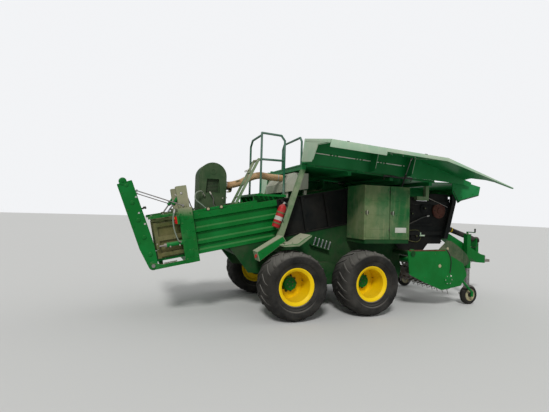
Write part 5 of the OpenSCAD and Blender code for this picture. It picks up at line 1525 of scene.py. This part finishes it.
class BALER_OT_frame(bpy.types.Operator):
    """Axle and frame fittings, mudguard brackets, springs and the extinguisher."""

    bl_idname = "baler.frame"
    bl_label = "Fit the Frame"

    def execute(self, context):
        self.axle()
        self.plates()
        self.mudguards()
        self.springs()
        self.extinguisher()
        return {"FINISHED"}

    def axle(self):
        piece = Piece("axle_fittings", "machine", "green_paint")
        paint = "shaded_green"
        for side in (-1, 1):
            y = side * 0.811
            outward = (0, side, 0)
            piece.turned([(0, 0), (0.115, 0), (0.115, 0.010), (0.095, 0.018), (0.06, 0.018), (0.055, 0.03),
                          (0, 0.03)], paint, (0, y, 0.78), outward, 40)
            piece.bolt_ring(side, (0, y + side * 0.012, 0.78), 0.092, 8, 0.016, paint)
            for x in (-AXLE_X, AXLE_X):
                piece.turned([(0.058, 0), (0.15, 0), (0.15, 0.012), (0.140, 0.020), (0.058, 0.020)], paint,
                             (x, side * 0.845, AXLE_Z), outward, 36)
                piece.rod((x + 0.06, side * 0.83, 0.74), (x - 0.13, side * 0.83, 0.80), 0.032, "casting",
                          20, edge=0.004)
            piece.side_bolts(side, y, grid((-0.5, -0.25, 0.25, 0.5), [AXLE_Z]), 0.020, paint)
        piece.finish()

    def plates(self):
        piece = Piece("frame_fittings", "machine", "green_paint")
        paint = "shaded_green"
        spots = [(-1.45, 1.02), (-1.30, 0.86), (-1.05, 0.76), (-0.60, 0.72), (-0.30, 0.70), (0.30, 0.70),
                 (0.62, 0.70), (0.95, 0.68), (1.25, 0.66), (1.60, 0.62), (1.78, 0.78), (1.72, 0.95),
                 (1.30, 1.00), (0.90, 1.06), (0.45, 1.08), (1.34, 1.70), (1.34, 1.95), (1.34, 2.15),
                 (1.55, 2.17), (2.16, 2.15)]
        for side in (-1, 1):
            face = side * FRAME_FACE
            piece.side_bolts(side, face, spots, 0.022, paint)
            for x, z in ((0.55, 0.84), (1.05, 0.80)):
                piece.turned(boss(0.05, 0.014, 0.038, 0.022), paint, (x, face, z), (0, side, 0), 28)
                piece.bolt((x, side * 0.666, z), (0, side, 0), 0.024, "worn_steel")
            for x in (0.68, 1.10, 1.52):
                piece.bolt((x, side * 1.20, 1.36), UP, 0.020, paint)
                piece.slab(side * 0.95, 0.26, (x - 0.03, 1.284), (x + 0.03, 1.2905), paint, 0.002)
        piece.finish()

    def mudguards(self):
        piece = Piece("mudguard_fittings", "machine", "green_paint")
        paint = "green_paint"
        for side in (-1, 1):
            outer = side * 1.1005
            piece.plate([(-1.290, 0.988), (-1.333, 1.130), (-0.893, 1.392), (-0.842, 1.322)], 0.003, paint,
                        Matrix.Translation((0, outer + (0.003 if side > 0 else 0), 0)) @ STANDING, 0)
            piece.side_bolts(side, side * 1.1035, [(-1.31 + 0.45 * share, 1.075 + 0.275 * share)
                                                   for share in (0.15, 0.5, 0.85)], 0.018, paint)
            for x, z in ((-0.90, 1.274), (-0.75, 1.290), (-0.60, 1.362)):
                piece.bolt((x, side * 1.20, z), UP, 0.018, paint)
            y_low, y_high = sorted((side * 1.322, side * 1.334))
            piece.strip([(-0.955, 1.262), (-0.70, 1.288), (-0.59, 1.366), (-0.462, 1.438)], -0.006, y_low,
                        y_high, paint)
            piece.rod((-0.95, side * 0.98, 1.30), (-0.80, side * 0.98, 1.262), 0.016, paint, 16)
            piece.turned(boss(0.036, 0.008, 0.028, 0.014, -0.004), "red_lens", (-1.338, side * 1.03, 1.06),
                         (-0.93, 0, 0.28), 28)
        piece.finish()

    def springs(self):
        piece = Piece("row_of_springs", "machine", "steel")
        for x in row(-0.114, 0.077, 5):
            top = 1.232 + SPRING_SLOPE * (x + 0.18)
            foot = Vector((x, -0.70, top))
            head = Vector((x + 0.042, -0.70, top + 0.145))
            run = (head - foot).normalized()
            piece.spring(foot + run * 0.010, head - run * 0.016, 0.0125, 0.0035, 11, "spring_steel")
            piece.rod(foot - run * 0.012, head + run * 0.004, 0.005, "zinc", 8)
            piece.rod(foot, foot + run * 0.010, 0.0155, "zinc", 16, edge=0.001)
            piece.rod(head - run * 0.014, head - run * 0.004, 0.0155, "zinc", 16, edge=0.001)
            piece.bolt(head - run * 0.004, run, 0.014)
        piece.finish("tension_springs")

    def extinguisher(self):
        """The bottle with its valve, gauge, levers, hose, straps and blank label, leaned as its post."""
        piece = Piece("extinguisher_bottle", "machine", "lamp_red")
        post_foot, post_head = (-0.918, 1.330), (-0.470, 2.600)
        lean = math.atan2(post_head[0] - post_foot[0], post_head[1] - post_foot[1])
        foot = Vector((post_foot[0] + 0.210 * math.tan(lean) - 0.080 / math.cos(lean), -0.815, 1.540))
        place = Matrix.Translation(foot) @ Matrix.Rotation(lean, 4, "Y")
        body = [(0, 0.004), (0.060, 0), (0.068, 0.004), (0.0705, 0.014), (0.072, 0.030), (0.072, 0.350),
                (0.070, 0.370), (0.062, 0.395), (0.048, 0.414), (0.030, 0.426), (0.024, 0.432),
                (0.024, 0.440), (0, 0.440)]
        piece.lathe(body, "red_enamel", place, 40)
        piece.lathe(collar(0.0722, 0.0732, 0.13, 0.20), "blank_label", place, 40)
        for h in (0.060, 0.260):
            piece.lathe(collar(0.0725, 0.0802, h, h + 0.026), "worn_steel", place, 36)
        piece.lathe([(0, 0.438), (0.021, 0.438), (0.021, 0.452), (0.016, 0.456), (0.016, 0.478),
                     (0, 0.480)], "zinc", place, 24)
        for low, high in (((0.0, 0, 0.466), (-0.075, 0, 0.478)), ((0.0, 0, 0.480), (-0.080, 0, 0.502))):
            piece.rod(place @ Vector(low), place @ Vector(high), 0.006, "black_plastic", 10)
        piece.rod(place @ Vector((0, -0.016, 0.462)), place @ Vector((0, -0.030, 0.462)), 0.016, "zinc", 24,
                  edge=0.002)
        line = [place @ Vector(v) for v in ((0.016, 0, 0.462), (0.05, -0.008, 0.466), (0.078, -0.02, 0.430),
                                            (0.088, -0.025, 0.36), (0.086, -0.025, 0.26),
                                            (0.084, -0.024, 0.17))]
        piece.tube(smooth_line(line, 5), 0.008, "black_plastic", 10)
        end = line[-1]
        piece.rod(end + Vector((0, 0, 0.01)), end - Vector((0.004, 0, 0.05)), 0.010, "black_plastic", 12,
                  0.015)
        piece.finish("fire_extinguisher")


PIECE_OPERATORS = [BALER_OT_wheels, BALER_OT_channel, BALER_OT_density, BALER_OT_chute, BALER_OT_deck,
                   BALER_OT_hood, BALER_OT_boxes, BALER_OT_drive, BALER_OT_pickup, BALER_OT_drawbar,
                   BALER_OT_frame]


class BALER_PT_panel(bpy.types.Panel):
    """Lists the steps in the sidebar."""

    bl_idname = "BALER_PT_panel"
    bl_label = "Large Square Baler"
    bl_space_type = "VIEW_3D"
    bl_region_type = "UI"
    bl_category = "Baler"

    def draw(self, context):
        scene = context.scene
        for settings in (scene.baler_tyre, scene.baler_stage):
            for name in settings.bl_rna.properties.keys():
                if name not in ("rna_type", "name"):
                    self.layout.prop(settings, name)
        for step in (BALER_OT_paint, *PIECE_OPERATORS, BALER_OT_stage):
            self.layout.operator(step.bl_idname)


CLASSES = [StageSettings, TyreSettings, BALER_OT_paint, BALER_OT_stage, *PIECE_OPERATORS, BALER_PT_panel]


def register():
    for cls in CLASSES:
        bpy.utils.register_class(cls)
    bpy.types.Scene.baler_stage = bpy.props.PointerProperty(type=StageSettings)
    bpy.types.Scene.baler_tyre = bpy.props.PointerProperty(type=TyreSettings)


def unregister():
    del bpy.types.Scene.baler_tyre
    del bpy.types.Scene.baler_stage
    for cls in reversed(CLASSES):
        bpy.utils.unregister_class(cls)


def main():
    register()
    bpy.ops.baler.paint()
    for step in PIECE_OPERATORS:
        getattr(bpy.ops.baler, step.bl_idname.split(".")[1])()
    bpy.ops.baler.stage()


if __name__ == "__main__":
    main()
